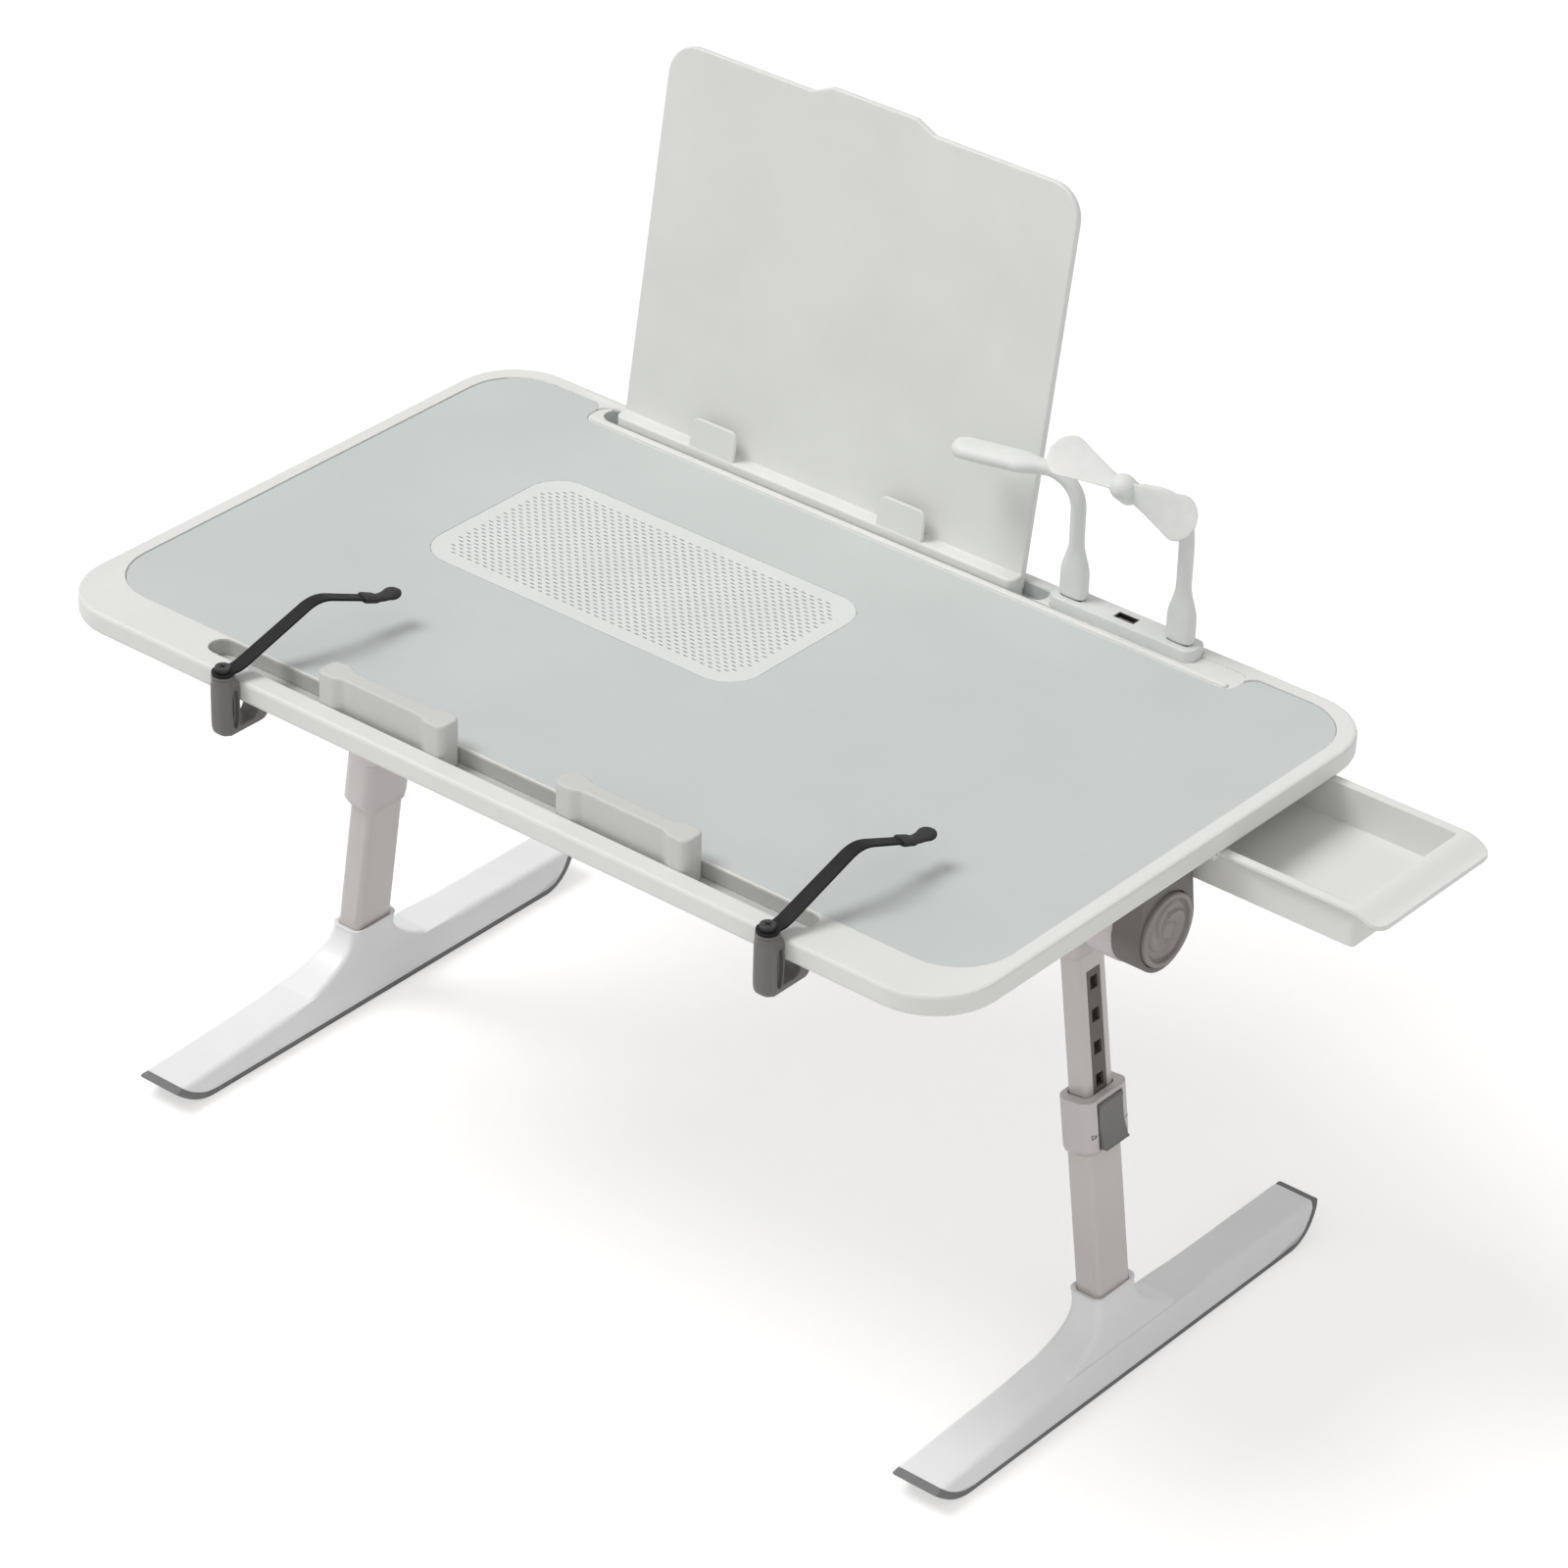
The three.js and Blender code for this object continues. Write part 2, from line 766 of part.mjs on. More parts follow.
function hubCase() {
  const floor = deskTop - HUB.pocket + FIT.gap;
  const body = at(slab(hubOutline(0), hubTop - floor, HUB.round), 0, 0, floor);
  const cavity = slab(hubOutline(-HUB.wall), deep(hubTop - HUB.wall - floor));
  const hole = SOCKET.width + 2 * FIT.gap;
  const windows = socketX.map((x) =>
    at(block(hole, SOCKET.depth + 2 * FIT.gap, 2 * deep(HUB.wall)), x, hubY, hubTop),
  );
  const inlet = block(INLET.width + 2 * FIT.gap, deep(HUB.wall) * 2, INLET.tall + 2 * FIT.gap);
  return cut(
    body,
    at(cavity, 0, 0, floor - FIT.overrun),
    ...windows,
    at(inlet, HUB.centreX, hubY + HUB.depth * HALF, inletZ),
  );
}

// One socket: a metal shell round a tongue, open at the top
function socketShell() {
  const { width, depth, wall, tall, base, tongue, tongueWidth, tongueTall } = SOCKET;
  const shell = at(block(width, depth, tall), 0, 0, tall * HALF);
  const room = at(block(width - 2 * wall, depth - 2 * wall, tall), 0, 0, tall * HALF + base);
  const bladeTall = tongueTall + base;
  const blade = block(tongueWidth, tongue, bladeTall);
  return join(cut(shell, room), at(blade, 0, -PLUG.insert * HALF, bladeTall * HALF));
}

// One plug: a metal shell with its contact block, open at the tip; z = 0 at the tip
function plugShell() {
  const { width, depth, wall, tall, collar, insert, floor } = PLUG;
  const shell = at(block(width, depth, tall + collar), 0, 0, (tall + collar) * HALF);
  const roomDepth = depth - 2 * wall - insert;
  const room = block(width - 2 * wall, roomDepth, 2 * (tall - floor));
  return cut(shell, at(room, 0, -insert * HALF, 0));
}

// Circuit board with the power inlet soldered to its back edge
function circuitBoard() {
  const length = HUB.length - 2 * (HUB.wall + CIRCUIT.margin);
  const depth = HUB.depth - 2 * (HUB.wall + CIRCUIT.margin);
  const board = roundedSlab(length, depth, HUB.corner - HUB.wall, CIRCUIT.thick, 0, 3);
  const shell = block(INLET.width, INLET.deep, INLET.tall);
  const room = block(INLET.width - 2 * INLET.wall, INLET.deep, INLET.tall - 2 * INLET.wall);
  const y = halfDepth - INLET.set - INLET.deep * HALF;
  return join(
    at(board, HUB.centreX, hubY, circuitTop - CIRCUIT.thick),
    at(cut(shell, at(room, 0, INLET.floor, 0)), HUB.centreX, y, inletZ),
  );
}

piece(table, "hub_case", hubCase(), shellWhite);
["left", "middle", "right"].forEach((where, i) => {
  const port = piece(table, `usb_port_${where}`, socketShell(), steel);
  port.position.set(socketX[i], hubY, hubTop - SOCKET.tall);
});
piece(table, "hub_circuit_board", circuitBoard(), circuitGreen);

// Lamp and fan: soft necks on plugs. z = 0 is the underside of the bottle-shaped grip

const plugTop = hubTop - SOCKET.tall + SOCKET.base + PLUG.seat + PLUG.tall;
const unitX = new THREE.Vector3(1, 0, 0);
const unitY = new THREE.Vector3(0, 1, 0);
const unitZ = new THREE.Vector3(0, 0, 1);
const NECK_SIDES = 12;

function bottleRings() {
  const { width, depth, straight, taper, neck, edge } = BOTTLE;
  const ring = (z, w, d, power) =>
    ovalRing(new THREE.Vector3(0, 0, z), unitX, unitY, w, d, power, NECK_SIDES);
  return [
    ring(0, width - 2 * edge, depth - 2 * edge, 3),
    ring(edge, width, depth, 3),
    ring(straight, width, depth, 2.6),
    ring(straight + taper * HALF, (width + neck) * HALF, (depth + neck) * HALF, 2.2),
    ring(straight + taper, neck, neck, 2),
  ];
}

// Hollow under the grip where the plug's collar is held
const plugPocket = () =>
  block(PLUG.width + 2 * FIT.gap, PLUG.depth + 2 * FIT.gap, 2 * (PLUG.collar + FIT.gap));

function lampBody() {
  const turn = LAMP.turnDeg * DEG;
  const outward = new THREE.Vector3(-Math.cos(turn), -Math.sin(turn), 0);
  const across = outward.clone().cross(unitZ);
  const start = Math.atan2(unitX.dot(outward), unitX.dot(across));
  const along = (angle) =>
    unitZ.clone().multiplyScalar(Math.cos(angle)).addScaledVector(outward, Math.sin(angle));
  const lift = (angle) =>
    outward.clone().multiplyScalar(Math.cos(angle)).addScaledVector(unitZ, -Math.sin(angle));
  const centre = new THREE.Vector3(0, 0, LAMP.rise - LAMP.bendRadius);
  const rings = bottleRings();
  const bendSteps = 7;
  const full = (90 + LAMP.droopDeg) * DEG;
  let tip = centre.clone();
  for (let i = 0; i <= bendSteps; i++) {
    const angle = (full * i) / bendSteps;
    const from = centre.clone().addScaledVector(outward, LAMP.bendRadius);
    tip = from.addScaledVector(lift(angle), -LAMP.bendRadius);
    rings.push(ovalRing(tip, across, lift(angle), BOTTLE.neck, BOTTLE.neck, 2, NECK_SIDES, start));
  }
  const { headLength, headWidth, headThick, growLength, tipLength } = LAMP;
  const { neckWidthShare, tipWidthShare, tipThickShare, endWidthShare, endThickShare } = LAMP;
  const head = (distance, widthShare, thickShare) => {
    const width = BOTTLE.neck + (headWidth - BOTTLE.neck) * widthShare;
    const spot = tip.clone().addScaledVector(along(full), distance);
    const height = headThick * thickShare;
    rings.push(ovalRing(spot, across, lift(full), width, height, 2.4, NECK_SIDES, start));
  };
  head(growLength * HALF, neckWidthShare, 1);
  head(growLength, 1, 1);
  head(headLength - tipLength, 1, 1);
  head(headLength - tipLength * HALF * HALF, tipWidthShare, tipThickShare);
  head(headLength, endWidthShare, endThickShare);
  return cut(loft(rings), plugPocket());
}

// Direction of the fan's shaft and a frame square to it
const fanAxis = new THREE.Vector3(FAN.axisX, FAN.axisY, FAN.axisZ).normalize();
const fanAcross = unitX.clone().addScaledVector(fanAxis, -unitX.dot(fanAxis)).normalize();
const fanUp = fanAxis.clone().cross(fanAcross);
const fanCentre = new THREE.Vector3(FAN.offsetX, FAN.offsetY, FAN.rise);

function fanBody() {
  const bottleTop = BOTTLE.straight + BOTTLE.taper;
  const pod = fanCentre.clone().addScaledVector(fanAxis, -FAN.motorLength * HALF);
  const curve = new THREE.CubicBezierCurve3(
    new THREE.Vector3(0, 0, bottleTop),
    new THREE.Vector3(0, 0, FAN.rise * FAN.straightShare),
    new THREE.Vector3(0, -FAN.offsetY * HALF, FAN.rise),
    pod,
  );
  const rings = bottleRings();
  const steps = 9;
  for (let i = 1; i <= steps; i++) {
    const along = curve.getTangentAt(i / steps);
    const across = unitX.clone().addScaledVector(along, -unitX.dot(along));
    const leaning = Math.abs(along.x) > FAN.levelShare ? unitZ.clone().negate() : across;
    const side = leaning.addScaledVector(along, -leaning.dot(along)).normalize();
    const up = along.clone().cross(side);
    const spot = curve.getPointAt(i / steps);
    rings.push(ovalRing(spot, side, up, BOTTLE.neck, BOTTLE.neck, 2, NECK_SIDES));
  }
  const turned = new THREE.Matrix4().makeBasis(fanAcross, fanUp, fanAxis);
  const motor = cylinderZ(FAN.motorRadius, FAN.motorLength, 20).applyMatrix4(turned);
  const shaft = cylinderZ(FAN.shaftRadius, FAN.motorLength + FAN.shaftLength, 10).applyMatrix4(turned);
  const foot = fanCentre.clone().addScaledVector(fanAxis, -FAN.motorLength);
  at(motor, foot.x, foot.y, foot.z);
  at(shaft, foot.x, foot.y, foot.z);
  return cut(join(loft(rings), motor, shaft), plugPocket());
}

// Two twisted blades on a domed hub, shaft along Z, blades along X
function fanBlades() {
  const { hubRadius, hubLength, reach, rootChord, wideChord, bladeThick } = FAN;
  const dome = [
    new THREE.Vector2(0, 0),
    new THREE.Vector2(hubRadius, 0),
    new THREE.Vector2(hubRadius, hubLength * HALF),
    ...arc(0, hubLength * HALF, hubRadius, 0, 90, 4).slice(1, -1)
      .map((p) => new THREE.Vector2(p.x, hubLength * HALF + (p.y - hubLength * HALF) * HALF)),
    new THREE.Vector2(0, hubLength * HALF + hubRadius * HALF),
  ];
  const hub = new THREE.LatheGeometry(dome, 20).rotateX(90 * DEG);
  const chordShares = [0, 0.25, 0.62, 0.95, 1, 0.72, 0.2];
  const reachShares = [0.05, 0.22, 0.42, 0.62, 0.8, 0.94, 1];
  const blade = loft(
    chordShares.map((share, i) => {
      const out = reachShares[i];
      const root = out < HALF * HALF ? rootChord : rootChord * share;
      const chord = root + (wideChord - rootChord) * share * share;
      const pitch = (FAN.rootPitchDeg + (FAN.tipPitchDeg - FAN.rootPitchDeg) * out) * DEG;
      const wide = new THREE.Vector3(0, Math.cos(pitch), Math.sin(pitch));
      const thin = new THREE.Vector3(0, -Math.sin(pitch), Math.cos(pitch));
      const middle = new THREE.Vector3(out * reach, 0, hubLength * HALF);
      return ovalRing(middle, wide, thin, chord, bladeThick, 2, 12);
    }),
  );
  const blades = [blade, blade.clone().rotateZ(180 * DEG)];
  const bore = cylinderZ(FAN.shaftRadius + FIT.gap, 2 * FAN.shaftLength, 10);
  return cut(join(hub, ...blades), at(bore, 0, 0, -FAN.shaftLength));
}

const plugAt = (name, x) => {
  const group = new THREE.Group();
  group.position.set(x, hubY, plugTop);
  table.add(group);
  piece(group, `${name}_plug`, plugShell(), steel).position.z = -PLUG.tall;
  return group;
};
const lampGroup = plugAt("lamp", socketX[0]);
piece(lampGroup, "lamp_body", lampBody(), silicone);
const fanGroup = plugAt("fan", socketX[2]);
piece(fanGroup, "fan_body", fanBody(), silicone);
const blades = piece(fanGroup, "fan_blades", fanBlades(), silicone);
const bladeFrame = new THREE.Matrix4().makeBasis(fanAcross, fanUp, fanAxis);
blades.quaternion.setFromRotationMatrix(bladeFrame);
blades.rotateZ(FAN.rollDeg * DEG);
blades.position.copy(fanCentre).addScaledVector(fanAxis, FIT.gap);

// Tablet board: a leaning plate on a foot that drops into the back slot, with two front lips

function boardPlate() {
  const { width, height, corner, thick, round, leanDeg, plateFrom, setBack } = BOARD;
  const x = width * HALF;
  const outline = [
    new THREE.Vector2(-x, 0),
    new THREE.Vector2(x, 0),
    ...arc(x - corner, height - corner, corner, 0, 90, 6),
    new THREE.Vector2(GRIP.base * HALF, height),
    new THREE.Vector2(GRIP.top * HALF, height + GRIP.rise),
    new THREE.Vector2(-GRIP.top * HALF, height + GRIP.rise),
    new THREE.Vector2(-GRIP.base * HALF, height),
    ...arc(-x + corner, height - corner, corner, 90, 180, 6),
  ];
  return at(slabAlongY(outline, thick, round).rotateX(-leanDeg * DEG), 0, setBack, plateFrom);
}

function boardFoot() {
  const depth = SLOT.width - 2 * FIT.slide;
  return roundedSlab(BOARD.width, depth, BOARD.footCorner, BOARD.footTall, BOARD.round, 4);
}

function boardLip(x) {
  const { width, height, thick, corner, root } = LIP;
  const half = width * HALF;
  const outline = [
    new THREE.Vector2(-half, -root),
    new THREE.Vector2(half, -root),
    ...arc(half - corner, height - corner, corner, 0, 90, 4),
    ...arc(-half + corner, height - corner, corner, 90, 180, 4),
  ];
  const front = -SLOT.width * HALF + FIT.slide + thick * HALF + BOARD.round * HALF;
  return at(slabAlongY(outline, thick).rotateX(-BOARD.leanDeg * DEG), x, front, BOARD.footTall);
}

const boardLips = [-HALF, HALF].map((side) => boardLip(LIP.centreShift + side * LIP.pitch));
piece(table, "tablet_board", join(boardFoot(), boardPlate(), ...boardLips), white)
  .position.set(boardX, slotY, deskTop - SLOT.depth + FIT.slide);

// Book stops: waisted blocks that slide along the front trough

function bookStop() {
  const wide = (TROUGH.width - 2 * FIT.slide) * HALF;
  const waist = STOP.waist * HALF;
  const end = STOP.length * HALF;
  const inner = end - STOP.endLength;
  const quarter = [
    ...arc(end - STOP.shoulder, wide - STOP.shoulder, STOP.shoulder, 0, 90, 3),
    new THREE.Vector2(inner, wide),
    new THREE.Vector2(inner - STOP.shoulder, waist),
  ];
  const mirrorX = quarter.map((p) => new THREE.Vector2(-p.x, p.y)).reverse();
  const upper = [...quarter, ...mirrorX];
  const lower = upper.map((p) => new THREE.Vector2(-p.x, -p.y));
  return slab([...upper, ...lower], TROUGH.depth - FIT.slide + STOP.proud, STOP.round, 1);
}

for (const [side, x] of [["left", STOP.leftX], ["right", STOP.rightX]]) {
  const stop = piece(table, `book_stop_${side}`, bookStop(), grey);
  stop.position.set(x, troughY, deskTop - TROUGH.depth + FIT.slide);
}

// Page clips: a grey bracket round the front edge and a bent arm with a rubber pad

const clipY = -halfDepth - FIT.gap - CLIP.postDeep * HALF;

// Hook-shaped bracket; y = 0 on the screw's axis
function clipBracket() {
  const { width, postDeep, postAbove, postBelow, jawReach, jawThick, padLength, round } = CLIP;
  const front = -postDeep * HALF;
  const back = postDeep * HALF;
  const top = deskTop + postAbove;
  const bottom = deskUnder - postBelow;
  const jawTop = bottom + jawThick;
  const jawEnd = back + jawReach;
  const side = [
    ...arc(front + round, bottom + round, round, 180, 270, 4),
    new THREE.Vector2(jawEnd - round, bottom),
    new THREE.Vector2(jawEnd, bottom + round),
    new THREE.Vector2(jawEnd, deskUnder - FIT.gap),
    new THREE.Vector2(jawEnd - padLength, deskUnder - FIT.gap),
    new THREE.Vector2(jawEnd - padLength, jawTop + round),
    new THREE.Vector2(jawEnd - padLength - round, jawTop),
    new THREE.Vector2(back, jawTop),
    new THREE.Vector2(back, top),
    ...arc(front + round, top - round, round, 90, 180, 4),
  ];
  const hook = at(slabAlongX(side, width, FIT.gap), -width * HALF, 0, 0);
  const boss = at(cylinderZ(CLIP.bossRadius, CLIP.bossTall + CLIP.postAbove, 20), 0, 0, deskTop);
  const recess = block(2 * CLIP.recessDeep, CLIP.recessWide, CLIP.recessTall);
  const screwRoom = CLIP_SCREW.length + FIT.gap;
  const hole = cylinderZ(CLIP_SCREW.radius + FIT.gap, deep(screwRoom), 14);
  return cut(
    join(hook, boss),
    at(recess, width * HALF, 0, deskUnder - CLIP.recessTall * HALF + postAbove),
    at(hole, 0, 0, top + CLIP.bossTall - screwRoom),
  );
}

function clipScrew() {
  const { radius, length, headRadius, headTall, slot, slotDeep } = CLIP_SCREW;
  const head = cylinderZ(headRadius, headTall, 18);
  const shank = at(cylinderZ(radius, length, 14), 0, 0, -length + headTall * HALF);
  const bars = [0, 1].map((turn) => {
    const bar = block(headRadius, slot, 2 * slotDeep).rotateZ(turn * 90 * DEG);
    return at(bar, 0, 0, headTall);
  });
  return cut(join(head, shank), ...bars);
}

// Centreline of the arm in its own upright plane: out along x, up along y
function armLine() {
  const { flat, elbowReach, elbowRise, tipReach, tipRise, elbowRadius } = CLIP_ARM;
  const start = new THREE.Vector2(-CLIP_ARM.eyeRadius, 0);
  const knee = new THREE.Vector2(flat, 0);
  const elbow = new THREE.Vector2(elbowReach, elbowRise);
  const tip = new THREE.Vector2(tipReach, tipRise);
  const before = elbow.clone().lerp(knee, elbowRadius / elbow.distanceTo(knee));
  const after = elbow.clone().lerp(tip, elbowRadius / elbow.distanceTo(tip));
  const bend = new THREE.QuadraticBezierCurve(before, elbow, after);
  return [start, knee, ...bend.getPoints(5), tip];
}

function pageArm() {
  const line = armLine();
  const normals = line.map((p, i) => {
    const next = line[Math.min(i + 1, line.length - 1)];
    const last = line[Math.max(i - 1, 0)];
    const along = next.clone().sub(last).normalize();
    return new THREE.Vector2(-along.y, along.x).multiplyScalar(CLIP_ARM.thick * HALF);
  });
  const upper = line.map((p, i) => p.clone().add(normals[i]));
  const lower = line.map((p, i) => p.clone().sub(normals[i]));
  const strip = slabAlongY([...lower, ...upper.reverse()], CLIP_ARM.width);
  const plan = [
    ...arc(0, 0, CLIP_ARM.eyeRadius, 90, 270, 8),
    new THREE.Vector2(CLIP_ARM.tipReach + FIT.overrun, -CLIP_ARM.width * HALF),
    new THREE.Vector2(CLIP_ARM.tipReach + FIT.overrun, CLIP_ARM.width * HALF),
  ];
  const tall = CLIP_ARM.elbowRise + 2 * CLIP_ARM.thick + FIT.overrun;
  const trimmed = overlap(strip, at(slab(plan, tall), 0, 0, -CLIP_ARM.thick));
  const eye = at(cylinderZ(CLIP_ARM.eyeRadius, CLIP_ARM.thick, 20), 0, 0, -CLIP_ARM.thick * HALF);
  const hole = cylinderZ(CLIP_SCREW.radius + FIT.gap, deep(CLIP_ARM.thick) * 2, 14);
  return cut(join(trimmed, eye), at(hole, 0, 0, -deep(CLIP_ARM.thick)));
}

// Soft tongue pushed over the arm's end
function armPad() {
  const { length, width, thick, grip } = CLIP_PAD;
  const widthShares = [0.5, 0.86, 1, 0.9, 0.78, 0.8, 0.6];
  const thickShares = [0.7, 1, 1, 0.7, 0.45, 0.45, 0.3];
  const lengthShares = [0, 0.06, 0.3, 0.5, 0.75, 0.93, 1];
  const rings = lengthShares.map((share, i) =>
    ovalRing(
      new THREE.Vector3(share * length, 0, 0),
      unitY,
      unitZ,
      width * widthShares[i],
      thick * thickShares[i],
      2.6,
      14,
    ),
  );
  const slot = block(2 * (grip + FIT.gap), CLIP_ARM.width + 2 * FIT.gap, CLIP_ARM.thick + 2 * FIT.gap);
  return cut(loft(rings), slot);
}

const armTilt = Math.atan2(
  CLIP_ARM.elbowRise - CLIP_ARM.tipRise,
  CLIP_ARM.tipReach - CLIP_ARM.elbowReach,
);
const clipPlaces = [["left", CLIP.leftX, CLIP_ARM.leftDeg], ["right", CLIP.rightX, CLIP_ARM.rightDeg]];
for (const [side, x, turnDeg] of clipPlaces) {
  const clip = new THREE.Group();
  clip.position.set(x, clipY, 0);
  table.add(clip);
  piece(clip, `clip_bracket_${side}`, clipBracket(), bracketGrey);
  const armZ = deskTop + CLIP.postAbove + CLIP.bossTall + FIT.gap + CLIP_ARM.thick * HALF;
  const swivel = new THREE.Group();
  swivel.position.z = armZ;
  swivel.rotation.z = turnDeg * DEG;
  clip.add(swivel);
  piece(swivel, `page_arm_${side}`, pageArm(), black);
  piece(swivel, `arm_screw_${side}`, clipScrew(), steel).position.z = CLIP_ARM.thick * HALF + FIT.gap;
  const pad = piece(swivel, `arm_pad_${side}`, armPad(), rubber);
  pad.position.set(
    CLIP_ARM.tipReach - CLIP_PAD.grip * Math.cos(armTilt),
    0,
    CLIP_ARM.tipRise + CLIP_PAD.grip * Math.sin(armTilt),
  );
  pad.rotation.y = armTilt;
}

// Drawer: an open tray hanging by its two flanges from rails under the desk

const drawerTop = deskUnder - RAIL.hang;
const drawerOuter = halfLength + DRAWER.out;

function drawerTray() {
  const { length, width, height, wall, floor, flange, flangeThick, corner } = DRAWER;
  const body = roundedSlab(length, width, corner, height, 0, 3);
  const roomOutline = roundedOutline(length - 2 * wall, width - 2 * wall, corner - wall * HALF, 3);
  const room = at(slab(roomOutline, height), 0, 0, floor);
  const top = height - flangeThick;
  const wing = at(block(length, width + 2 * flange, flangeThick), 0, 0, top + flangeThick * HALF);
  const open = at(slab(roomOutline, deep(flangeThick)), 0, 0, top - FIT.overrun * HALF);
  const shell = join(cut(body, room), cut(wing, open));
  return at(join(shell, drawerLip()), -length * HALF, 0, -height);
}

// Handle: the end rim runs outward and rolls down in a soft S
function drawerLip() {
  const { length, width, flange, height, lipReach, lipDrop, lipThick } = DRAWER;
  const steps = 6;
  const upper = Array.from({ length: steps + 1 }, (unused, i) => {
    const share = i / steps;
    const fall = (1 - Math.cos(share * Math.PI)) * HALF;
    return new THREE.Vector2(length * HALF + share * lipReach, height - fall * lipDrop);
  });
  const root = length * HALF - DRAWER.wall;
  const lower = upper.map((p) => new THREE.Vector2(p.x, p.y - lipThick)).reverse();
  const outline = [
    new THREE.Vector2(root, height),
    ...upper,
    ...lower,
    new THREE.Vector2(root, height - lipThick),
  ];
  const plan = roundedOutline(length + 2 * lipReach, width + 2 * flange, DRAWER.lipCorner, 4);
  return overlap(slabAlongY(outline, width + 2 * flange), slab(plan, 2 * height));
}

// Rail of L section; the web is on the side away from the drawer
function drawerRail(side) {
  const { web, ledge, ledgeThick, length } = RAIL;
  const flangeEdge = (DRAWER.width * HALF + DRAWER.flange + FIT.slide) * side;
  const inner = flangeEdge - (ledge + FIT.slide) * side;
  const outer = flangeEdge + web * side;
  const under = drawerTop - DRAWER.flangeThick - FIT.slide;
  const top = deskUnder - FIT.gap;
  const outline = [
    new THREE.Vector2(outer, top),
    new THREE.Vector2(outer, under - ledgeThick),
    new THREE.Vector2(inner, under - ledgeThick),
    new THREE.Vector2(inner, under),
    new THREE.Vector2(flangeEdge, under),
    new THREE.Vector2(flangeEdge, top),
  ];
  return at(slabAlongX(outline, length), halfLength - RAIL.fromSide - length, drawerY, 0);
}

piece(table, "drawer_tray", drawerTray(), white).position.set(drawerOuter, drawerY, drawerTop);
piece(table, "drawer_rail_front", drawerRail(-1), white);
piece(table, "drawer_rail_back", drawerRail(1), white);

// Tilt bracket under the desk, drawn for the right side

function tiltBracket() {
  const { drumRadius, drumLength, plateThick, plateLength, plateWidth, plateCorner } = BRACKET;
  const plateX = halfLength - BRACKET.plateInset - plateLength * HALF;
  const plateZ = deskUnder - FIT.gap - plateThick;
  const plate = roundedSlab(plateLength, plateWidth, plateCorner, plateThick, 0, 4);
  const neckTop = plateZ + plateThick * HALF;
  const reach = drumLength + BRACKET.hoodLength;
  const neckOutline = [
    ...arc(0, pivotZ, drumRadius, 180, 0, 8),
    new THREE.Vector2(BRACKET.neckWidth * HALF, neckTop),
    new THREE.Vector2(-BRACKET.neckWidth * HALF, neckTop),
  ];
  const neck = at(slabAlongX(neckOutline, reach), drumEnd - reach, legY, 0);
  const drum = at(cylinderX(drumRadius, drumLength, 30), drumStart, legY, pivotZ);
  const hoodLength = deep(BRACKET.hoodLength);
  const hood = cylinderX(BARREL.radius + BRACKET.hoodRoom, hoodLength, 30);
  const sweepRoom = block(hoodLength, deep(2 * drumRadius), deep(drumRadius));
  const journalLength = deep(BARREL.journalLength + FIT.gap);
  const journal = cylinderX(BARREL.journalRadius + FIT.gap, journalLength, 24);
  const stem = cylinderX(BARREL.bore, deep(drumLength), 16);
  const recess = cylinderX(BRACKET.recessRadius, deep(drumEnd - recessFloor), 30);
  const hoodX = drumEnd - reach - FIT.overrun;
  return cut(
    join(at(plate, plateX, legY, plateZ), neck, drum),
    at(hood, hoodX, legY, pivotZ),
    at(sweepRoom, hoodX + hoodLength * HALF, legY, pivotZ - deep(drumRadius) * HALF),
    at(journal, drumStart - FIT.overrun, legY, pivotZ),
    at(stem, drumStart - FIT.overrun * HALF, legY, pivotZ),
    at(recess, recessFloor, legY, pivotZ),
  );
}

// Release disc, dished, with the stem that enters the pivot arm; x = 0 on its inner face
function tiltDisc() {
  const { radius, thick, dish, dishRadius, rimRadius, stemRadius, stemLength } = DISC;
  const profile = [
    new THREE.Vector2(0, -stemLength),
    new THREE.Vector2(stemRadius, -stemLength),
    new THREE.Vector2(stemRadius, 0),
    new THREE.Vector2(radius, 0),
    new THREE.Vector2(radius, thick - dish * HALF),
    new THREE.Vector2(rimRadius, thick),
    new THREE.Vector2(dishRadius, thick - dish),
    new THREE.Vector2(dishRadius * HALF, thick - dish),
    new THREE.Vector2(0, thick - dish * HALF),
  ];
  return new THREE.LatheGeometry(profile, 30).rotateZ(-90 * DEG);
}

// Pivot arm: a journal for the drum, a round barrel and a yoke for the leg; origin on the fold pin
function pivotArm() {
  const end = barrelEnd - pivotX;
  const barrel = at(cylinderX(BARREL.radius, BARREL.length, 30), end - BARREL.length, 0, 0);
  const journal = cylinderX(BARREL.journalRadius, deep(BARREL.journalLength), 24);
  const { cheekRadius, width, round, slot, room, pinRadius } = YOKE;
  const shoulderX = end - BARREL.length + BARREL.length * HALF * HALF;
  const tall = Math.sqrt(BARREL.radius ** 2 - (width * HALF) ** 2);
  const outline = [
    ...arc(0, 0, cheekRadius, 90, 270, 10),
    new THREE.Vector2(shoulderX - BARREL.length * HALF * HALF, -cheekRadius),
    new THREE.Vector2(shoulderX, -tall),
    new THREE.Vector2(shoulderX, tall),
    new THREE.Vector2(shoulderX - BARREL.length * HALF * HALF, cheekRadius),
  ];
  const yoke = slabAlongY(outline, width, round);
  const gapLength = cheekRadius + room;
  const mouth = block(deep(gapLength), slot + 2 * FIT.gap, 2 * deep(cheekRadius));
  const pin = cylinderY(pinRadius + FIT.gap, deep(width), 20);
  const bore = cylinderX(BARREL.bore, deep(BARREL.boreDepth), 16);
  return cut(
    join(barrel, at(journal, end - FIT.overrun, 0, 0), yoke),
    at(mouth, room - deep(gapLength) * HALF, 0, 0),
    pin,
    at(bore, end + BARREL.journalLength - BARREL.boreDepth, 0, 0),
  );
}

